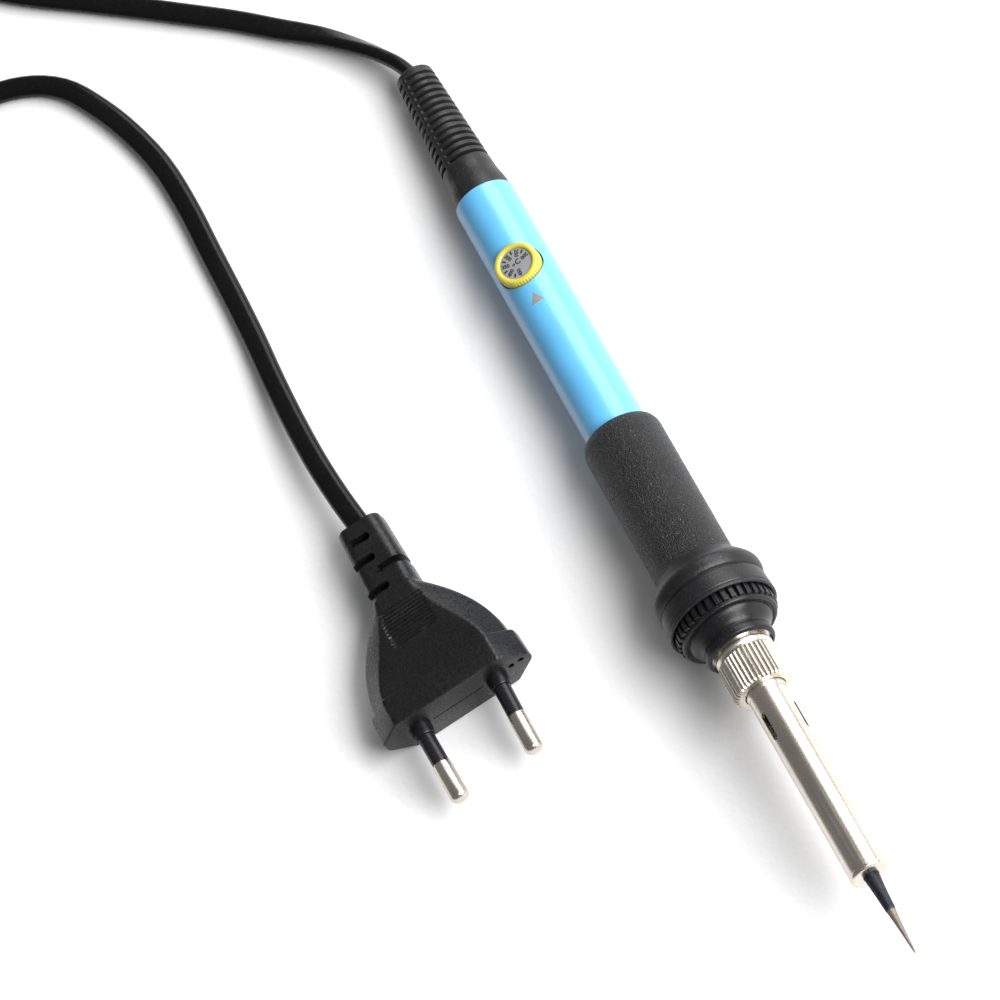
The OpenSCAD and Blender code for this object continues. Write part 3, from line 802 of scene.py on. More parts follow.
def coil_line(middle, outer, pitch, turns, low, rise, first, last):
    """Two flat spirals, in on the floor and out on top of it, climbing at the inner turn."""
    climb = math.radians(80)
    total = last - first
    layer_turn = (total - climb) / 2
    inner = outer - pitch * turns
    line = []
    steps = int(total / math.radians(5))
    for k in range(steps + 1):
        turn = total * k / steps
        if turn < layer_turn:
            radius = outer - (outer - inner) * turn / layer_turn
            height = low
        elif turn < layer_turn + climb:
            radius = inner
            height = low + rise * smoothstep((turn - layer_turn) / climb)
        else:
            radius = inner + (outer - inner) * (turn - layer_turn - climb) / layer_turn
            height = low + rise
        angle = first + turn
        drift = 0.12 * noise.noise(Vector((turn * 0.9, 3.7, 0.0)))
        line.append(
            Vector((
                middle.x + (radius + drift) * math.cos(angle),
                middle.y + (radius + drift) * math.sin(angle),
                height,
            ))
        )
    return line


def lead_section(width, thickness, sides=20):
    """Flat twin section: two round halves with the flattest of waists between them."""
    half = (width - thickness) / 2
    outline = []
    for k in range(sides):
        angle = 2 * math.pi * (k + 0.5) / sides
        along = thickness / 2 * math.cos(angle) + math.copysign(half, math.cos(angle))
        waist = 1 - 0.035 * math.exp(-((along / 0.9) ** 2))
        outline.append((along, thickness / 2 * math.sin(angle) * waist))
    return outline


def lead_mesh(line, start, settle, width, thickness):
    """The lead's skin along its line, upright at its start and flat after the settling length."""
    outline = lead_section(width, thickness)
    rings = []
    gone = 0.0
    for i, centre in enumerate(line):
        ahead = line[min(i + 1, len(line) - 1)] - line[max(i - 1, 0)]
        heading = Vector(start) if i == 0 else ahead.normalized()
        if i:
            gone += (centre - line[i - 1]).length
        turn = math.pi / 2 * smoothstep(gone / settle)
        side = Vector((0, 0, 1)).cross(heading).normalized()
        up = heading.cross(side)
        wide = side * math.sin(turn) + up * math.cos(turn)
        thin = heading.cross(wide)
        rings.append([tuple(centre + wide * a + thin * b) for a, b in outline])
    return stacked(rings)


def coil_middle():
    """Middle of the lead's coil, in millimetres."""
    low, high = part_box("cord_coil")
    return (low + high) / 2 / MM


class IRON_OT_lead(bpy.types.Operator):
    """Mains lead from the boot through its coil to the plug, and the tie round the coil"""

    bl_idname = "iron.lead"
    bl_label = "Lead and tie"

    def execute(self, context):
        s = context.scene.iron_lead
        width = s.width / MM
        thickness = s.thickness / MM
        outer = s.coil_outer / MM
        lay = thickness / 2 + FLOOR_GAP
        middle = coil_middle()
        boot_end = extent("strain_relief_boot", IRON)[0]
        boot_mouth = (IRON @ Vector((boot_end * MM, 0, 0))) / MM
        plug_end = extent("plug_body", PLUG)[0]
        plug_mouth = (PLUG @ Vector((plug_end * MM, 0, 0))) / MM
        from_boot = [
            boot_mouth, (-122, -1.6, 4.3), (-128, -4.8, 3.6), (-134, -8.9, 2.9),
            (-140, -13.6, 2.3), (-147, -20.2, 1.9), (-155, -27.5, lay), (-163, -35.7, lay),
            (-171, -44, lay), (-180, -53.6, lay), (-190, -64.4, lay), (-200.4, -74, lay),
            (-211, -82.1, 1.8), (-221.5, -90, COIL_LOW),
        ]
        from_plug = [
            plug_mouth, (-42, -57.1, 6.6), (-52, -57.8, 5.8), (-63, -58, 4.6),
            (-75, -57.8, 3.2), (-87, -57.2, 2.1), (-99, -56.8, lay), (-111, -56.5, lay),
            (-123, -56.1, lay), (-135, -56.6, lay), (-146, -58.9, lay), (-156, -62.4, lay),
            (-165, -67.2, lay), (-171.2, -74.8, lay), (-174, -84.6, 2.1), (-171, -95, 3.2),
            (-167, -105, 4.4), (-165.3, -114.5, 5.17),
        ]
        entry = math.atan2(-90 - middle.y, -221.5 - middle.x)
        turns = 2 * math.ceil(s.turns)
        coil = coil_line(middle, outer, width + TURN_GAP, s.turns, COIL_LOW, s.layer / MM,
                         entry, 2 * math.pi * turns)
        line = spline(from_boot, 4)[:-1] + coil[1:-1] + list(reversed(spline(from_plug, 4)))
        leaving = -(IRON.to_3x3() @ Vector((1, 0, 0)))
        shape = lead_mesh(line, leaving, TURNING, width, thickness)
        lead = build("mains_lead", shape, Matrix.Identity(4), "lead_sheath", "handle", 60.0)
        stand_for(lead, "cord_boot_side", "cord_coil", "cord_plug_side")
        build_tie(s, middle, outer, width)
        return {"FINISHED"}


def build_tie(s, middle, outer, width):
    """A flat tie round the bundle of turns, on the side away from the iron."""
    inner = outer - (width + TURN_GAP) * s.turns
    centre = (outer + inner) / 2
    half = (outer - inner) / 2 + width / 2 + 0.15
    top = COIL_LOW + s.layer / MM + s.thickness / MM / 2 + 0.1
    rings = []
    for grow in (0.0, TIE_THICK):
        ring = []
        for k in range(48):
            angle = 2 * math.pi * k / 48
            c = math.cos(angle)
            d = math.sin(angle)
            y = math.copysign(abs(c) ** 0.28, c) * (half + grow)
            z = math.copysign(abs(d) ** 0.4, d) * ((top - 0.5) / 2 + grow * 0.9)
            ring.append((centre + y, (top + 0.5) / 2 + z))
        rings.append(ring)
    w = s.tie_width / MM / 2
    loops = [
        [(-w, y, z) for y, z in rings[1]], [(w, y, z) for y, z in rings[1]],
        [(w, y, z) for y, z in rings[0]], [(-w, y, z) for y, z in rings[0]],
    ]
    points, faces = stacked(loops)
    faces = faces[2:]
    numbers = [list(range(i * 48, i * 48 + 48)) for i in (3, 0)]
    stitch(numbers, faces)
    at = square_frame(middle * MM - Vector((0, 0, middle.z * MM)),
                      (-math.sin(TIE_PLACE), math.cos(TIE_PLACE), 0), (0, 0, 1))
    turn = Matrix.Rotation(math.pi, 4, "Z")
    tie = build("lead_tie", (points, faces), at @ turn, "tie_plastic", "handle")
    stand_for(tie, "coil_tie")


# ---------------------------------------------------------------- handle


class IRON_OT_handle(bpy.types.Operator):
    """Handle tube with the dial's hole, and the printed pointer ahead of the dial"""

    bl_idname = "iron.handle"
    bl_label = "Handle tube"

    def execute(self, context):
        s = context.scene.iron_handle
        rear, front, radius = extent("handle_tube", IRON)
        bore = radius - s.wall / MM
        outline = rounded([
            (rear, bore, 0), (rear, radius, 0.35), (front, radius, 0), (front, bore, 0),
        ])
        shape = turned(finer(outline, 2.0), 160, closed=True)
        tube = build("handle_tube_shell", shape, IRON, "handle_blue", None)
        middle, hole = dial_place()
        hole += s.hole_room / MM
        disc = [(middle + hole * math.cos(t), hole * math.sin(t))
                for t in (2 * math.pi * k / 96 for k in range(96))]
        carve(tube, [stacked([[(x, y, z) for x, y in disc] for z in (0.0, radius + 2)])])
        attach(tube, "handle")
        stand_for(tube, "handle_tube")
        self.pointer(s, middle, radius)
        return {"FINISHED"}

    def pointer(self, s, middle, radius):
        """A printed triangle that lies on the crown and points at the dial."""
        size = s.pointer_size / MM
        centre = middle + s.pointer_gap / MM
        corners = [Vector((centre + size * math.cos(t), size * math.sin(t)))
                   for t in (math.pi, math.pi / 3, -math.pi / 3)]
        steps = 10
        points = []
        index = {}
        for i in range(steps + 1):
            for j in range(steps + 1 - i):
                p = (corners[0] * (steps - i - j) + corners[1] * i + corners[2] * j) / steps
                index[i, j] = len(points)
                points.append((p.x, p.y, math.sqrt((radius + INK) ** 2 - p.y ** 2)))
        faces = []
        for i in range(steps):
            for j in range(steps - i):
                faces.append((index[i, j], index[i + 1, j], index[i, j + 1]))
                if i + j < steps - 1:
                    faces.append((index[i + 1, j], index[i + 1, j + 1], index[i, j + 1]))
        mark = build("dial_pointer", (points, faces), IRON, "print_grey", "handle")


def dial_place():
    """Station of the dial's middle and its radius."""
    points = node_points("dial_ring", IRON)
    stations = [p.x for p in points]
    return (min(stations) + max(stations)) / 2, (max(stations) - min(stations)) / 2


# ---------------------------------------------------------------- grip and collar


class IRON_OT_grip(bpy.types.Operator):
    """Grained rubber grip with its flange"""

    bl_idname = "iron.grip"
    bl_label = "Grip"

    def execute(self, context):
        rear, lip, flange = extent("grip_sleeve", IRON)
        tube = extent("handle_tube", IRON)
        inside = tube[2] + 0.03
        body = flange - 3.4
        bulge = lip - 7.4
        knurl = lip - 3.9
        outline = rounded(
            [(rear, inside, 0), (rear, inside + 0.5, 0.2), (rear + 0.15, body - 0.6, 0.9),
             (rear + 1.6, body, 0.8), (bulge - 6.6, body, 0)]
            + sweep_curve((bulge - 6.0, body), (bulge, flange), 16)
            + [(bulge + 0.6, flange, 0.3), (bulge + 1.3, flange - 0.15, 0.3),
               (bulge + 1.9, flange - 0.45, 0.2), (bulge + 2.25, flange - 0.95, 0.15),
               (bulge + 2.6, flange - 0.45, 0.2), (lip - 1.2, flange - 0.2, 0.2),
               (lip - 0.95, flange - 0.38, 0.1), (lip - 0.7, flange - 0.15, 0.2),
               (lip, flange - 0.15, 0.35), (lip, flange - 0.85, 0.2), (knurl, flange - 0.85, 0),
               (knurl, flange - 2.1, 0), (tube[1], flange - 2.1, 0), (tube[1], inside, 0)]
        )
        shape = turned(finer(outline, 3.0), 144, closed=True)
        grip = build("grip_rubber_sleeve", shape, IRON, "grip_grained", "handle", 50.0)
        grip.data.materials.append(finish("grip_smooth"))
        for face in grip.data.polygons:
            x = face.center.x / MM
            face.material_index = 0 if x < bulge - 4.6 else 1
        stand_for(grip, "grip_sleeve")
        return {"FINISHED"}


class IRON_OT_collar(bpy.types.Operator):
    """Ribbed front collar with its disc and neck ring"""

    bl_idname = "iron.collar"
    bl_label = "Front collar"

    def execute(self, context):
        s = context.scene.iron_grip
        rear, front, rib = extent("front_collar", IRON)
        lip = extent("grip_sleeve", IRON)[1]
        knurl = lip - 3.85
        disc = lip + 3.2
        bore = 6.43
        outline = rounded([
            (knurl - 4, bore, 0), (knurl - 4, rib - 1.1, 0), (knurl, rib - 1.1, 0),
            (knurl, rib, 0.1), (disc - 1.05, rib, 0.2), (disc - 0.9, rib - 0.55, 0.1),
            (disc - 0.75, rib - 0.5, 0.1), (disc - 0.3, rib - 0.5, 0.2), (disc, rib - 0.75, 0.3),
            (disc + 0.02, rib - 1.3, 0.2), (disc - 0.25, rib - 1.6, 0.2)]
            + sweep_curve((disc - 0.2, rib - 1.8), (front - 2.4, 7.35), 10)
            + [(front - 1.5, 7.6, 0.4), (front - 0.4, 7.55, 0.5), (front, 7.0, 0.3),
               (front, bore + 0.3, 0.1), (front - 0.5, bore, 0)])
        width = s.rib_gap / MM
        deep = s.rib_depth / MM

        def relief(x, angle, r):
            if x > disc - 0.85 or x < knurl - 0.01 or r < rib - 0.7:
                return 0.0
            floor = rib - deep
            return max(r - floor, 0.0) * gap_profile(angle, s.ribs, rib, width, 0.22)

        shape = turned(finer(outline, 3.0), s.ribs * 12, relief, closed=True)
        collar = build("front_collar_shell", shape, IRON, "collar_plastic", "handle", 40.0)
        stand_for(collar, "front_collar")
        return {"FINISHED"}


# ---------------------------------------------------------------- dial


def dial_frame():
    """X up the dial's spindle and Z back towards the cord, origin on the iron's axis."""
    middle = dial_place()[0]
    turn = Matrix.Rotation(-math.pi / 2, 4, "Y")
    return IRON @ Matrix.Translation((middle * MM, 0, 0)) @ turn


class IRON_OT_dial(bpy.types.Operator):
    """Temperature dial: its ring, its plate, the numbers and the ticks between them"""

    bl_idname = "iron.dial"
    bl_label = "Dial"

    def execute(self, context):
        s = context.scene.iron_dial
        placed = dial_frame()
        base, top, rim = extent("dial_ring", placed)
        plate_low, plate_top, plate = extent("dial_plate", placed)
        outline = rounded([
            (base, 0, 0), (base, rim, 0.3), (top - 0.9, rim, 0.5), (top - 0.15, rim - 0.25, 0.5),
            (top, rim - 0.75, 0.4), (top - 0.02, plate + 0.35, 0.2),
            (top - 0.3, plate + 0.04, 0.1), (plate_low, plate + 0.03, 0), (plate_low, 0, 0)])

        def relief(x, angle, r):
            if r < rim - 0.5:
                return 0.0
            fade = smoothstep((r - rim + 0.5) / 0.4)
            return 0.13 * fade * (0.5 + 0.5 * math.cos(angle * s.serrations)) ** 3

        shape = turned(finer(outline, 0.8), s.serrations * 8, relief)
        ring = build("dial_grip_ring", shape, placed, "dial_yellow", "dial", 55.0)
        stand_for(ring, "dial_ring")
        disc = rounded([(plate_low, 0, 0), (plate_low, plate, 0), (plate_top, plate, 0.1),
                        (plate_top, 0, 0)])
        face = build("dial_face", turned(disc, 96), placed, "dial_grey", "dial")
        stand_for(face, "dial_plate")
        self.marks(s, plate, plate_top + 0.004)
        return {"FINISHED"}

    def marks(self, s, plate, height):
        """The scale printed on the plate."""
        at = IRON @ Matrix.Translation((dial_place()[0] * MM, 0, height * MM))
        pieces = []
        for i in range(s.numbers):
            angle = -math.radians(4) - s.spread * (s.numbers - 1 - i)
            label = str(s.first + s.step * i)
            inward = Matrix.Rotation(angle + math.pi, 4, "Z")
            out = Matrix.Translation((-0.665 * plate * MM, 0, 0))
            pieces.append(letters(label, s.letter, at @ inward @ out))
            if i:
                between = angle - s.spread / 2
                tick = block((0.66 * plate, -0.2, 0), (0.92 * plate, 0.2, INK))
                turn = Matrix.Rotation(between, 4, "Z")
                pieces.append(build("tick", tick, at @ turn, "print_black", None))
        across = at @ Matrix.Rotation(math.radians(100), 4, "Z")
        small = across @ Matrix.Translation((-0.55 * MM, 0.1 * MM, 0))
        pieces.append(letters("o", s.letter * 0.95, small))
        pieces.append(letters("C", s.letter * 1.45, across @ Matrix.Translation((0.5 * MM, 0, 0))))
        scale = joined("dial_scale", pieces)
        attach(scale, "dial")


def letters(label, height, placed):
    """Printed letters, centred on their frame."""
    curve = bpy.data.curves.new("letters", "FONT")
    curve.body = label
    curve.size = height / MM
    curve.align_x = "CENTER"
    curve.align_y = "CENTER"
    curve.extrude = INK / 2
    curve.offset = 0.055
    curve.resolution_u = 4
    text = put("letters", curve, Matrix.Identity(4))
    graph = bpy.context.evaluated_depsgraph_get()
    mesh = bpy.data.meshes.new_from_object(text.evaluated_get(graph))
    bpy.data.objects.remove(text)
    mesh.transform(Matrix.Diagonal((MM, MM, MM, 1)))
    mesh.materials.clear()
    mesh.materials.append(finish("print_black"))
    return put("letters", mesh, placed)


def joined(name, pieces):
    """One object from several, in the frame of the first."""
    bpy.context.view_layer.update()
    work = bmesh.new()
    back = pieces[0].matrix_world.inverted()
    for piece in pieces:
        copy = piece.data.copy()
        copy.transform(back @ piece.matrix_world)
        work.from_mesh(copy)
        bpy.data.meshes.remove(copy)
    mesh = bpy.data.meshes.new(name)
    work.to_mesh(mesh)
    work.free()
    mesh.materials.append(pieces[0].data.materials[0])
    whole = put(name, mesh, pieces[0].matrix_world.copy())
    for piece in pieces:
        bpy.data.objects.remove(piece)
    return whole


# ---------------------------------------------------------------- front end


class IRON_OT_nut(bpy.types.Operator):
    """Knurled nut that holds the barrel"""

    bl_idname = "iron.nut"
    bl_label = "Barrel nut"

    def execute(self, context):
        s = context.scene.iron_front
        rear, front, radius = extent("barrel_nut", IRON)
        inner = 4.97
        outline = rounded([
            (rear, inner, 0), (rear, radius - 0.75, 0.25), (rear + 0.25, radius - 0.35, 0.25),
            (rear + 0.9, radius - 0.25, 0.3), (rear + 1.35, radius - 0.6, 0.2),
            (rear + 1.8, radius - 0.55, 0.2), (rear + 2.2, radius, 0.15),
            (front - 0.55, radius, 0.2), (front, radius - 0.5, 0.2), (front, 4.45, 0.1),
            (front - 1.5, 4.4, 0), (front - 1.5, inner, 0)])
        deep = s.tooth_depth / MM

        def relief(x, angle, r):
            if x < rear + 1.9 or r < radius - 0.55:
                return 0.0
            cut = max(deep - from_gap(angle, s.teeth, radius), 0.0)
            return cut * smoothstep((x - rear - 1.9) / 0.3)

        shape = turned(finer(outline, 1.2), s.teeth * 10, relief, closed=True)
        nut = build("barrel_nut_shell", shape, IRON, "nut_nickel", "nut", 28.0)
        stand_for(nut, "barrel_nut")
        return {"FINISHED"}


class IRON_OT_barrel(bpy.types.Operator):
    """Bright barrel with its vent slots"""

    bl_idname = "iron.barrel"
    bl_label = "Barrel"

    def execute(self, context):
        s = context.scene.iron_front
        rear, front, flange = extent("barrel", IRON)
        radius = mount("barrel_seat")["dims"]["r_mm"]
        step = extent("barrel_nut", IRON)[1]
        bore = radius - 0.78
        hole = s.cone / MM + 0.07
        outline = rounded([
            (rear, bore, 0), (rear, flange, 0.1), (rear + 1, flange, 0.1),
            (rear + 1, radius + 0.2, 0),
            (step + 0.5, radius + 0.2, 0.15), (step + 0.9, radius, 0.15),
            (front - 1.3, radius, 0.2), (front - 1.0, radius + 0.12, 0.15),
            (front - 0.35, radius + 0.12, 0.3), (front, radius - 0.4, 0.25),
            (front, hole, 0.15), (front - 1, hole, 0), (front - 1, bore, 0)])
        shape = turned(finer(outline, 2.5), 120, closed=True)
        barrel = build("barrel_shell", shape, IRON, "barrel_steel", None, 30.0)
        middle = step + 8.8
        slots = [
            spun(pill(s.slot_length / MM, s.slot_width / MM, 1.0, radius + 1, at=(middle, 0.0)),
                 s.slot_turn + math.radians(120 * i))
            for i in range(3)
        ]
        carve(barrel, slots, 30.0)
        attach(barrel, "barrel")
        stand_for(barrel, "barrel")
        return {"FINISHED"}


class IRON_OT_tip(bpy.types.Operator):
    """Conical tip with its tinned point"""

    bl_idname = "iron.tip"
    bl_label = "Tip"

    def execute(self, context):
        rear, point, body = extent("tip", IRON)
        barrel = extent("barrel", IRON)[1]
        neck = context.scene.iron_front.cone / MM
        outline = rounded([
            (rear, 2.1, 0), (rear, body, 0.2), (barrel - 1.1, body, 0.1), (barrel - 1.1, neck, 0),
            (barrel + 0.5, neck, 0.3), (barrel + 4.4, neck - 0.3, 1.2),
            (barrel + 8.2, 1.08, 0.5), (barrel + 8.5, 1.0, 0.2), (barrel + 11.4, 0.69, 1.0),
            (point - 1.0, 0.26, 0.5), (point - 0.12, 0.16, 0.1), (point, 0, 0)])
        tip = build("tip_cone", turned(finer(outline, 2.0), 72), IRON, "tip_plating", "tip", 35.0)
        stand_for(tip, "tip")
        return {"FINISHED"}


# ---------------------------------------------------------------- boot


class IRON_OT_boot(bpy.types.Operator):
    """Ribbed rubber boot where the lead enters the handle"""

    bl_idname = "iron.boot"
    bl_label = "Cord boot"

    def execute(self, context):
        s = context.scene.iron_boot
        rear = extent("strain_relief_boot", IRON)[0]
        tube = extent("handle_tube", IRON)[2]
        slim = tube - 2.55
        thick = tube - 1.05
        shoulder = -6.8
        first = rear + 1.85
        last = first + s.pitch / MM * (s.grooves - 1) + s.width / MM
        outline = rounded([
            (rear + 0.5, 0, 0), (rear + 0.5, 2.2, 0.2), (rear, 2.9, 0.2), (rear, slim, 0.7),
            (first - 0.2, slim + 0.05, 0)])
        steps = int((last + 0.3 - first) / 0.13)
        for k in range(steps + 1):
            x = first - 0.1 + (last + 0.2 - first) * k / steps
            outline.append((x, slim + (thick - slim) * (x - rear) / (shoulder - rear)))
        outline += [(x, r) for x, r, ease in sweep_curve((shoulder, thick), (-1.6, tube - 0.4), 14)]
        outline += [(-0.05, tube - 0.3), (-0.05, 0.0)]
        pitch = s.pitch / MM
        width = s.width / MM
        deep = s.depth / MM

        def relief(x, angle, r):
            off = (angle - s.spine + math.pi / 2) % math.pi - math.pi / 2
            away = abs(off) * r
            line = 0.06 * clamp((0.16 - away) / 0.08) if rear + 1 < x < -1 else 0.0
            if not first <= x <= last:
                return -line
            within = (x - first) % pitch
            cut = smoothstep(within / 0.2) * smoothstep((width - within) / 0.2)
            solid = smoothstep((0.85 - away) / 0.35)
            return deep * cut * (1 - solid) - line

        boot = build("cord_boot", turned(outline, 192, relief), IRON, "boot_rubber", "handle", 55.0)
        stand_for(boot, "strain_relief_boot")
        return {"FINISHED"}


# ---------------------------------------------------------------- plug


def plug_outline(x, width, height, flat, edge, ease, across=28):
    """Closed six-sided outline of the plug at one station, with eased corners."""
    corners = [(width, -edge), (width, edge), (flat, height), (-flat, height), (-width, edge),
               (-width, -edge), (-flat, -height), (flat, -height)]
    outline = []
    for i, corner in enumerate(corners):
        here = Vector(corner)
        after = Vector(corners[(i + 1) % 8])
        arc = eased(Vector(corners[i - 1]), here, after, ease, 3)
        outline.extend((x, p.x, p.y) for p in arc)
        if i in (2, 6):
            final = arc[-1]
            stop = after - (final - here)
            for k in range(1, across):
                p = final + (stop - final) * k / across
                outline.append((x, p.x, p.y))
    return outline


class IRON_OT_plug(bpy.types.Operator):
    """Two-pin plug: its moulded body, pin bosses, sleeves and pins"""

    bl_idname = "iron.plug"
    bl_label = "Plug"

    def execute(self, context):
        s = context.scene.iron_plug
        points = node_points("plug_body", PLUG)
        half = max(abs(p.y) for p in points)
        high = max(abs(p.z) for p in points)
        rear = min(p.x for p in points)
        body = self.body(s, half, high, rear)
        carve(body, self.cuts(s, half, high, rear), 32.0)
        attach(body, "handle")
        stand_for(body, "plug_body")
        self.bosses()
        for side in ("left", "right"):
            self.pin(side)
        return {"FINISHED"}

    def body(self, s, half, high, rear):
        """Flange, bell and neck as one moulding."""
        flange = s.flange / MM
        bell = s.bell_end / MM
        edge = s.edge / MM
        flat = half - 5.2
        neck_high = high - 2.65
        outlines = []

        def add(x, width, height, panel, side, ease):
            outlines.append(plug_outline(x, width, height, panel, side, ease))

        add(0, half - 0.55, high - 0.5, flat - 0.4, edge - 0.2, 0.5)
        add(-0.12, half - 0.28, high - 0.22, flat - 0.15, edge, 0.5)
        add(-0.5, half, high, flat, edge, 0.5)
        add(-flange + 0.3, half - 0.35, high, flat, edge, 0.5)
        add(-flange, half - 0.5, high - 0.12, flat - 0.1, edge, 0.5)
        steps = int((bell - flange) / 0.22)
        for k in range(steps + 1):
            t = k / steps
            x = -flange - 0.35 - (bell - flange - 0.35) * t
            width = (half - 1.6) * (1 - t ** 1.9) + 5.6 * t ** 1.9
            panel = flat - 0.2 + (4.5 - flat + 0.2) * smoothstep(t) ** 0.85
            height = high - 0.5 + (neck_high + 0.55 - high + 0.5) * t
            side = edge + (neck_high - 1.9 - edge) * t
            ease = 0.45 + 0.5 * t
            ring = plug_outline(x, width, height, panel, side, ease)
            outlines.append([self.ribbed(s, p, x, flange) for p in ring])
        add(-bell - 0.5, 5.6, neck_high + 0.3, 4.2, neck_high - 1.8, 1.0)
        add(-bell - 1.1, 5.55, neck_high, 4.1, neck_high - 1.7, 1.0)
        for k in range(1, 9):
            t = k / 8
            x = -bell - 1.1 + (rear + 0.9 + bell + 1.1) * t
            add(x, 5.55 - 0.6 * t, neck_high, 4.1 - 0.6 * t, neck_high - 1.7, 1.0)
        add(rear + 0.3, 4.85, neck_high - 0.15, 3.4, neck_high - 1.7, 1.0)
        add(rear, 4.3, neck_high - 0.7, 3.0, neck_high - 1.9, 0.9)
        return build("plug_moulding", stacked(outlines), PLUG, "plug_plastic", None, 30.0)

    def ribbed(self, s, point, x, flange):
        """The point, pushed in where a groove of the finger grip crosses the panel."""
        _, y, z = point
        start = -24.6
        pitch = 0.88
        run = (x - start) / pitch
        if abs(y) > 5.2 or not 0 <= run <= s.ribs - 0.5 or abs(z) < 2.6:
            return point
        wave = (0.5 - 0.5 * math.cos(2 * math.pi * run)) * smoothstep((5.2 - abs(y)) / 0.35)
        return x, y, z - math.copysign(0.4 * wave, z)

    def cuts(self, s, half, high, rear):
        """Flexing slots of the neck, the seam across the face and its two small holes."""
        top = high - 2.65
        slots = [(4.4, -3.4, 1.5), (9.1, -7.5, 0.4), (12.4, -1.0, 7.5), (16.4, -7.5, 0.2)]
        shapes = []
        for away, low, up in slots:
            x = rear + away
            for side in (1, -1):
                heights = sorted((side * (top - 2.4), side * (top + 1.5)))
                shapes.append(pill(up - low, 1.7, heights[0], heights[1],
                                   at=(x, (low + up) / 2), across=True))
            if min(abs(low), abs(up)) < 6 < max(abs(low), abs(up)):
                outer = low if abs(low) > abs(up) else up
                sides = sorted((math.copysign(4.3, outer), math.copysign(8.0, outer)))
                shapes.append(block((x - 0.85, sides[0], -top - 1), (x + 0.85, sides[1], top + 1)))
        shapes.append(block((-0.35, -6.2, -0.16), (1.0, 6.2, 0.16)))
        for y in (half - 4.4, half - 2.1):
            hole = turned([(-1.2, 0), (-1.2, 0.72), (1.0, 0.72), (1.0, 0)], 20)
            shapes.append(([(px, py + y, pz + 0.9) for px, py, pz in hole[0]], hole[1]))
        return shapes

    def bosses(self):
        """Hard bridge inside the moulding, with a boss round the foot of each pin."""
        pieces = [build("bridge", block((-7.6, -13.0, -3.3), (-0.8, 13.0, 3.3)), PLUG,
                        "bridge_plastic", None)]
        for name in ("plug_pin_left", "plug_pin_right"):
            outline = rounded([(-2, 1.86, 0), (-2, 2.4, 0), (0.25, 2.39, 0.2), (2.3, 2.25, 0.1),
                               (2.5, 2.15, 0.15), (2.5, 2.0, 0.1), (2.2, 1.86, 0)])
            pieces.append(build("boss", turned(outline, 64, closed=True), pin_frame(name),
                                "bridge_plastic", None))
        whole = joined("plug_bosses", pieces)
        whole.data.shade_smooth()
        whole.data.set_sharp_from_angle(angle=math.radians(32))
        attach(whole, "handle")
        stand_for(whole, "plug_bridge")

    def pin(self, side):
        """One nickel pin and its black sleeve."""
        placed = pin_frame("plug_pin_" + side)
        root, end, radius = extent("plug_pin_" + side, placed)
        start, stop, sleeve = extent("pin_sleeve_" + side, placed)
        outline = rounded([
            (root, 0, 0), (root, 1.7, 0.2), (stop, 1.7, 0), (stop, sleeve, 0),
            (stop + 0.3, radius, 0.1)]
            + [(end - 1.3 * (1 - math.sin(t)), radius - 1.6 * (1 - math.cos(t)), 0)
               for t in (math.pi / 16 * k for k in range(9))] + [(end, 0, 0)])
        pin = build("pin_" + side, turned(finer(outline, 2.0), 64), placed, "pin_nickel", "handle")
        stand_for(pin, "plug_pin_" + side)
        sheath = rounded([(start, 1.71, 0), (start, sleeve, 0), (2.3, sleeve, 0),
                          (2.62, sleeve + 0.06, 0.1), (2.95, sleeve, 0),
                          (stop - 0.1, sleeve, 0.1), (stop, sleeve - 0.08, 0), (stop, 1.71, 0)])
        cover = build("sleeve_" + side, turned(sheath, 64, closed=True), placed, "sleeve_black",
                      "handle")
        stand_for(cover, "pin_sleeve_" + side)


# ---------------------------------------------------------------- pieces inside


class IRON_OT_inside(bpy.types.Operator):
    """Finishes of the pieces inside the handle, the barrel and the plug"""

    bl_idname = "iron.inside"
    bl_label = "Inside pieces"

    def execute(self, context):
        for node, piece in frame["nodes"].items():
            if piece.hide_render:
                continue
            piece.data.materials.clear()
            piece.data.materials.append(finish(SLOTS[node]))
        return {"FINISHED"}


# ---------------------------------------------------------------- stage


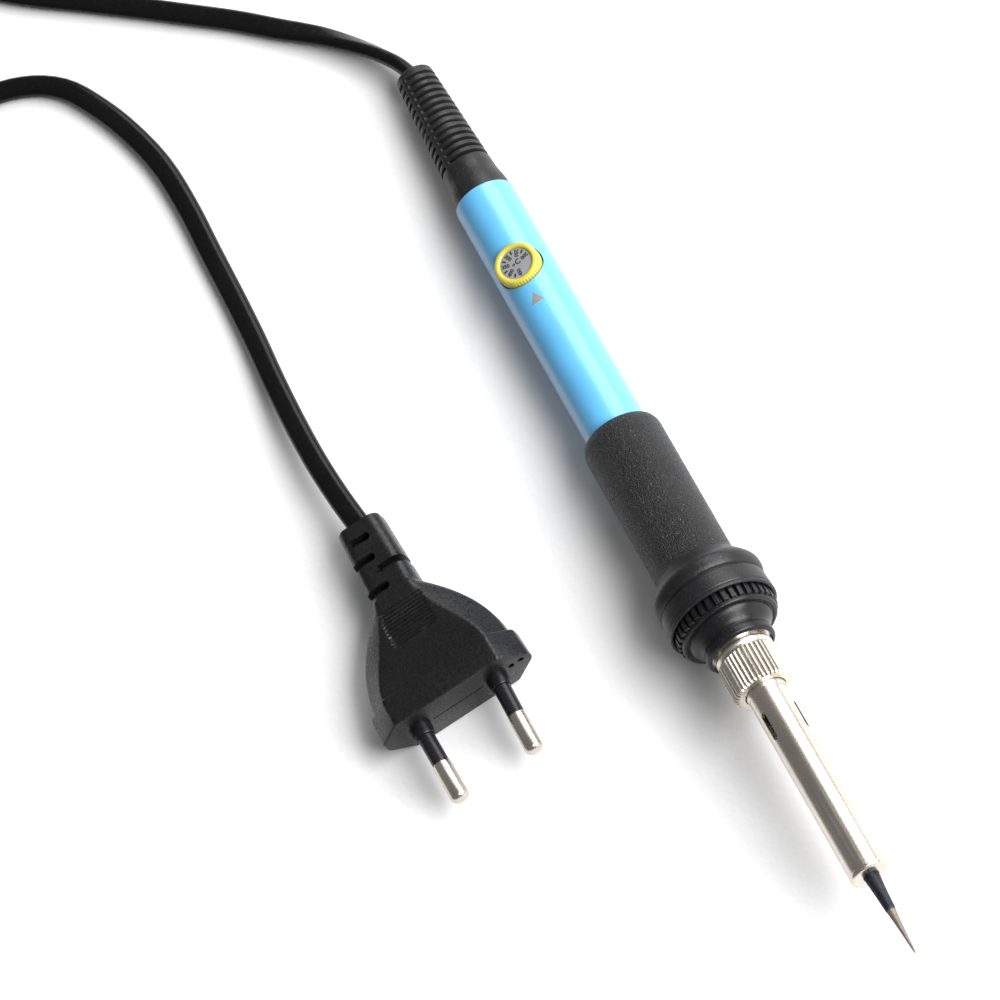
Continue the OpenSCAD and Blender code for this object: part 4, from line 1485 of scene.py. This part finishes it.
class IRON_OT_stage(bpy.types.Operator):
    """Pale floor, soft studio light and the camera"""

    bl_idname = "iron.stage"
    bl_label = "Stage"

    def execute(self, context):
        s = context.scene.iron_stage
        self.camera(context, s)
        self.lights(context, s)
        reach = 2500.0
        corners = [(-reach, -reach, 0), (reach, -reach, 0), (reach, reach, 0), (-reach, reach, 0)]
        floor = build("floor", (corners, [(0, 1, 2, 3)]), Matrix.Identity(4), "studio_floor", None)
        context.scene.view_settings.view_transform = "Standard"
        return {"FINISHED"}

    def camera(self, context, s):
        """Looks down on the iron from beyond its tip, rolled so that the iron slants."""
        flat = math.cos(s.elevation)
        away = Vector((flat * math.cos(s.azimuth), flat * math.sin(s.azimuth),
                       math.sin(s.elevation)))
        level = Vector((-math.sin(s.azimuth), math.cos(s.azimuth), 0))
        upright = away.cross(level)
        right = level * math.cos(s.roll) + upright * math.sin(s.roll)
        up = away.cross(right)
        data = bpy.data.cameras.new("studio_camera")
        data.sensor_width = 36.0
        data.lens = s.lens
        data.clip_start = 0.05
        data.clip_end = 50.0
        placed = Matrix((right, up, away)).transposed().to_4x4()
        placed.translation = Vector((s.aim_x, s.aim_y, 0)) + away * s.distance
        context.scene.camera = put("studio_camera", data, placed)

    def lights(self, context, s):
        """Main light beyond the iron's side, a wide faint one beside it, and light all round."""
        for name, place, wide, high, power in (
            ("key_light", Vector((0.62, 0.96, 0.95)), 1.25, 1.1, s.key),
            ("side_light", Vector((-0.75, 1.05, 0.85)), 1.6, 1.1, s.side),
        ):
            data = bpy.data.lights.new(name, "AREA")
            data.shape = "RECTANGLE"
            data.size = wide
            data.size_y = high
            data.energy = power
            aim = Vector((s.aim_x, s.aim_y, 0)) - place
            facing = aim.to_track_quat("-Z", "Y").to_matrix().to_4x4()
            put(name, data, Matrix.Translation(place) @ facing)
        world = bpy.data.worlds.new("studio")
        world.use_nodes = True
        backdrop = world.node_tree.nodes["Background"]
        backdrop.inputs["Color"].default_value = (1.0, 1.0, 1.0, 1.0)
        backdrop.inputs["Strength"].default_value = s.fill
        context.scene.world = world


# ---------------------------------------------------------------- sidebar


class IRON_PT_sidebar(bpy.types.Panel):
    """Lists the pieces in the order in which they are made"""

    bl_idname = "IRON_PT_sidebar"
    bl_label = "Soldering iron"
    bl_space_type = "VIEW_3D"
    bl_region_type = "UI"
    bl_category = "Soldering iron"

    def draw(self, context):
        for operator in OPERATORS:
            self.layout.operator(operator.bl_idname, text=operator.bl_label)


OPERATORS = (
    IRON_OT_stage,
    IRON_OT_handle,
    IRON_OT_grip,
    IRON_OT_collar,
    IRON_OT_boot,
    IRON_OT_dial,
    IRON_OT_nut,
    IRON_OT_barrel,
    IRON_OT_tip,
    IRON_OT_plug,
    IRON_OT_lead,
    IRON_OT_inside,
)
CLASSES = (*SETTINGS.values(), *OPERATORS, IRON_PT_sidebar)


def register():
    for cls in CLASSES:
        bpy.utils.register_class(cls)
    for name, cls in SETTINGS.items():
        setattr(bpy.types.Scene, name, bpy.props.PointerProperty(type=cls))


def unregister():
    for name in SETTINGS:
        delattr(bpy.types.Scene, name)
    for cls in reversed(CLASSES):
        bpy.utils.unregister_class(cls)


def main():
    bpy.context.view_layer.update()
    register()
    bpy.ops.iron.stage()
    bpy.ops.iron.handle()
    bpy.ops.iron.grip()
    bpy.ops.iron.collar()
    bpy.ops.iron.boot()
    bpy.ops.iron.dial()
    bpy.ops.iron.nut()
    bpy.ops.iron.barrel()
    bpy.ops.iron.tip()
    bpy.ops.iron.plug()
    bpy.ops.iron.lead()
    bpy.ops.iron.inside()


if __name__ == "__main__":
    main()
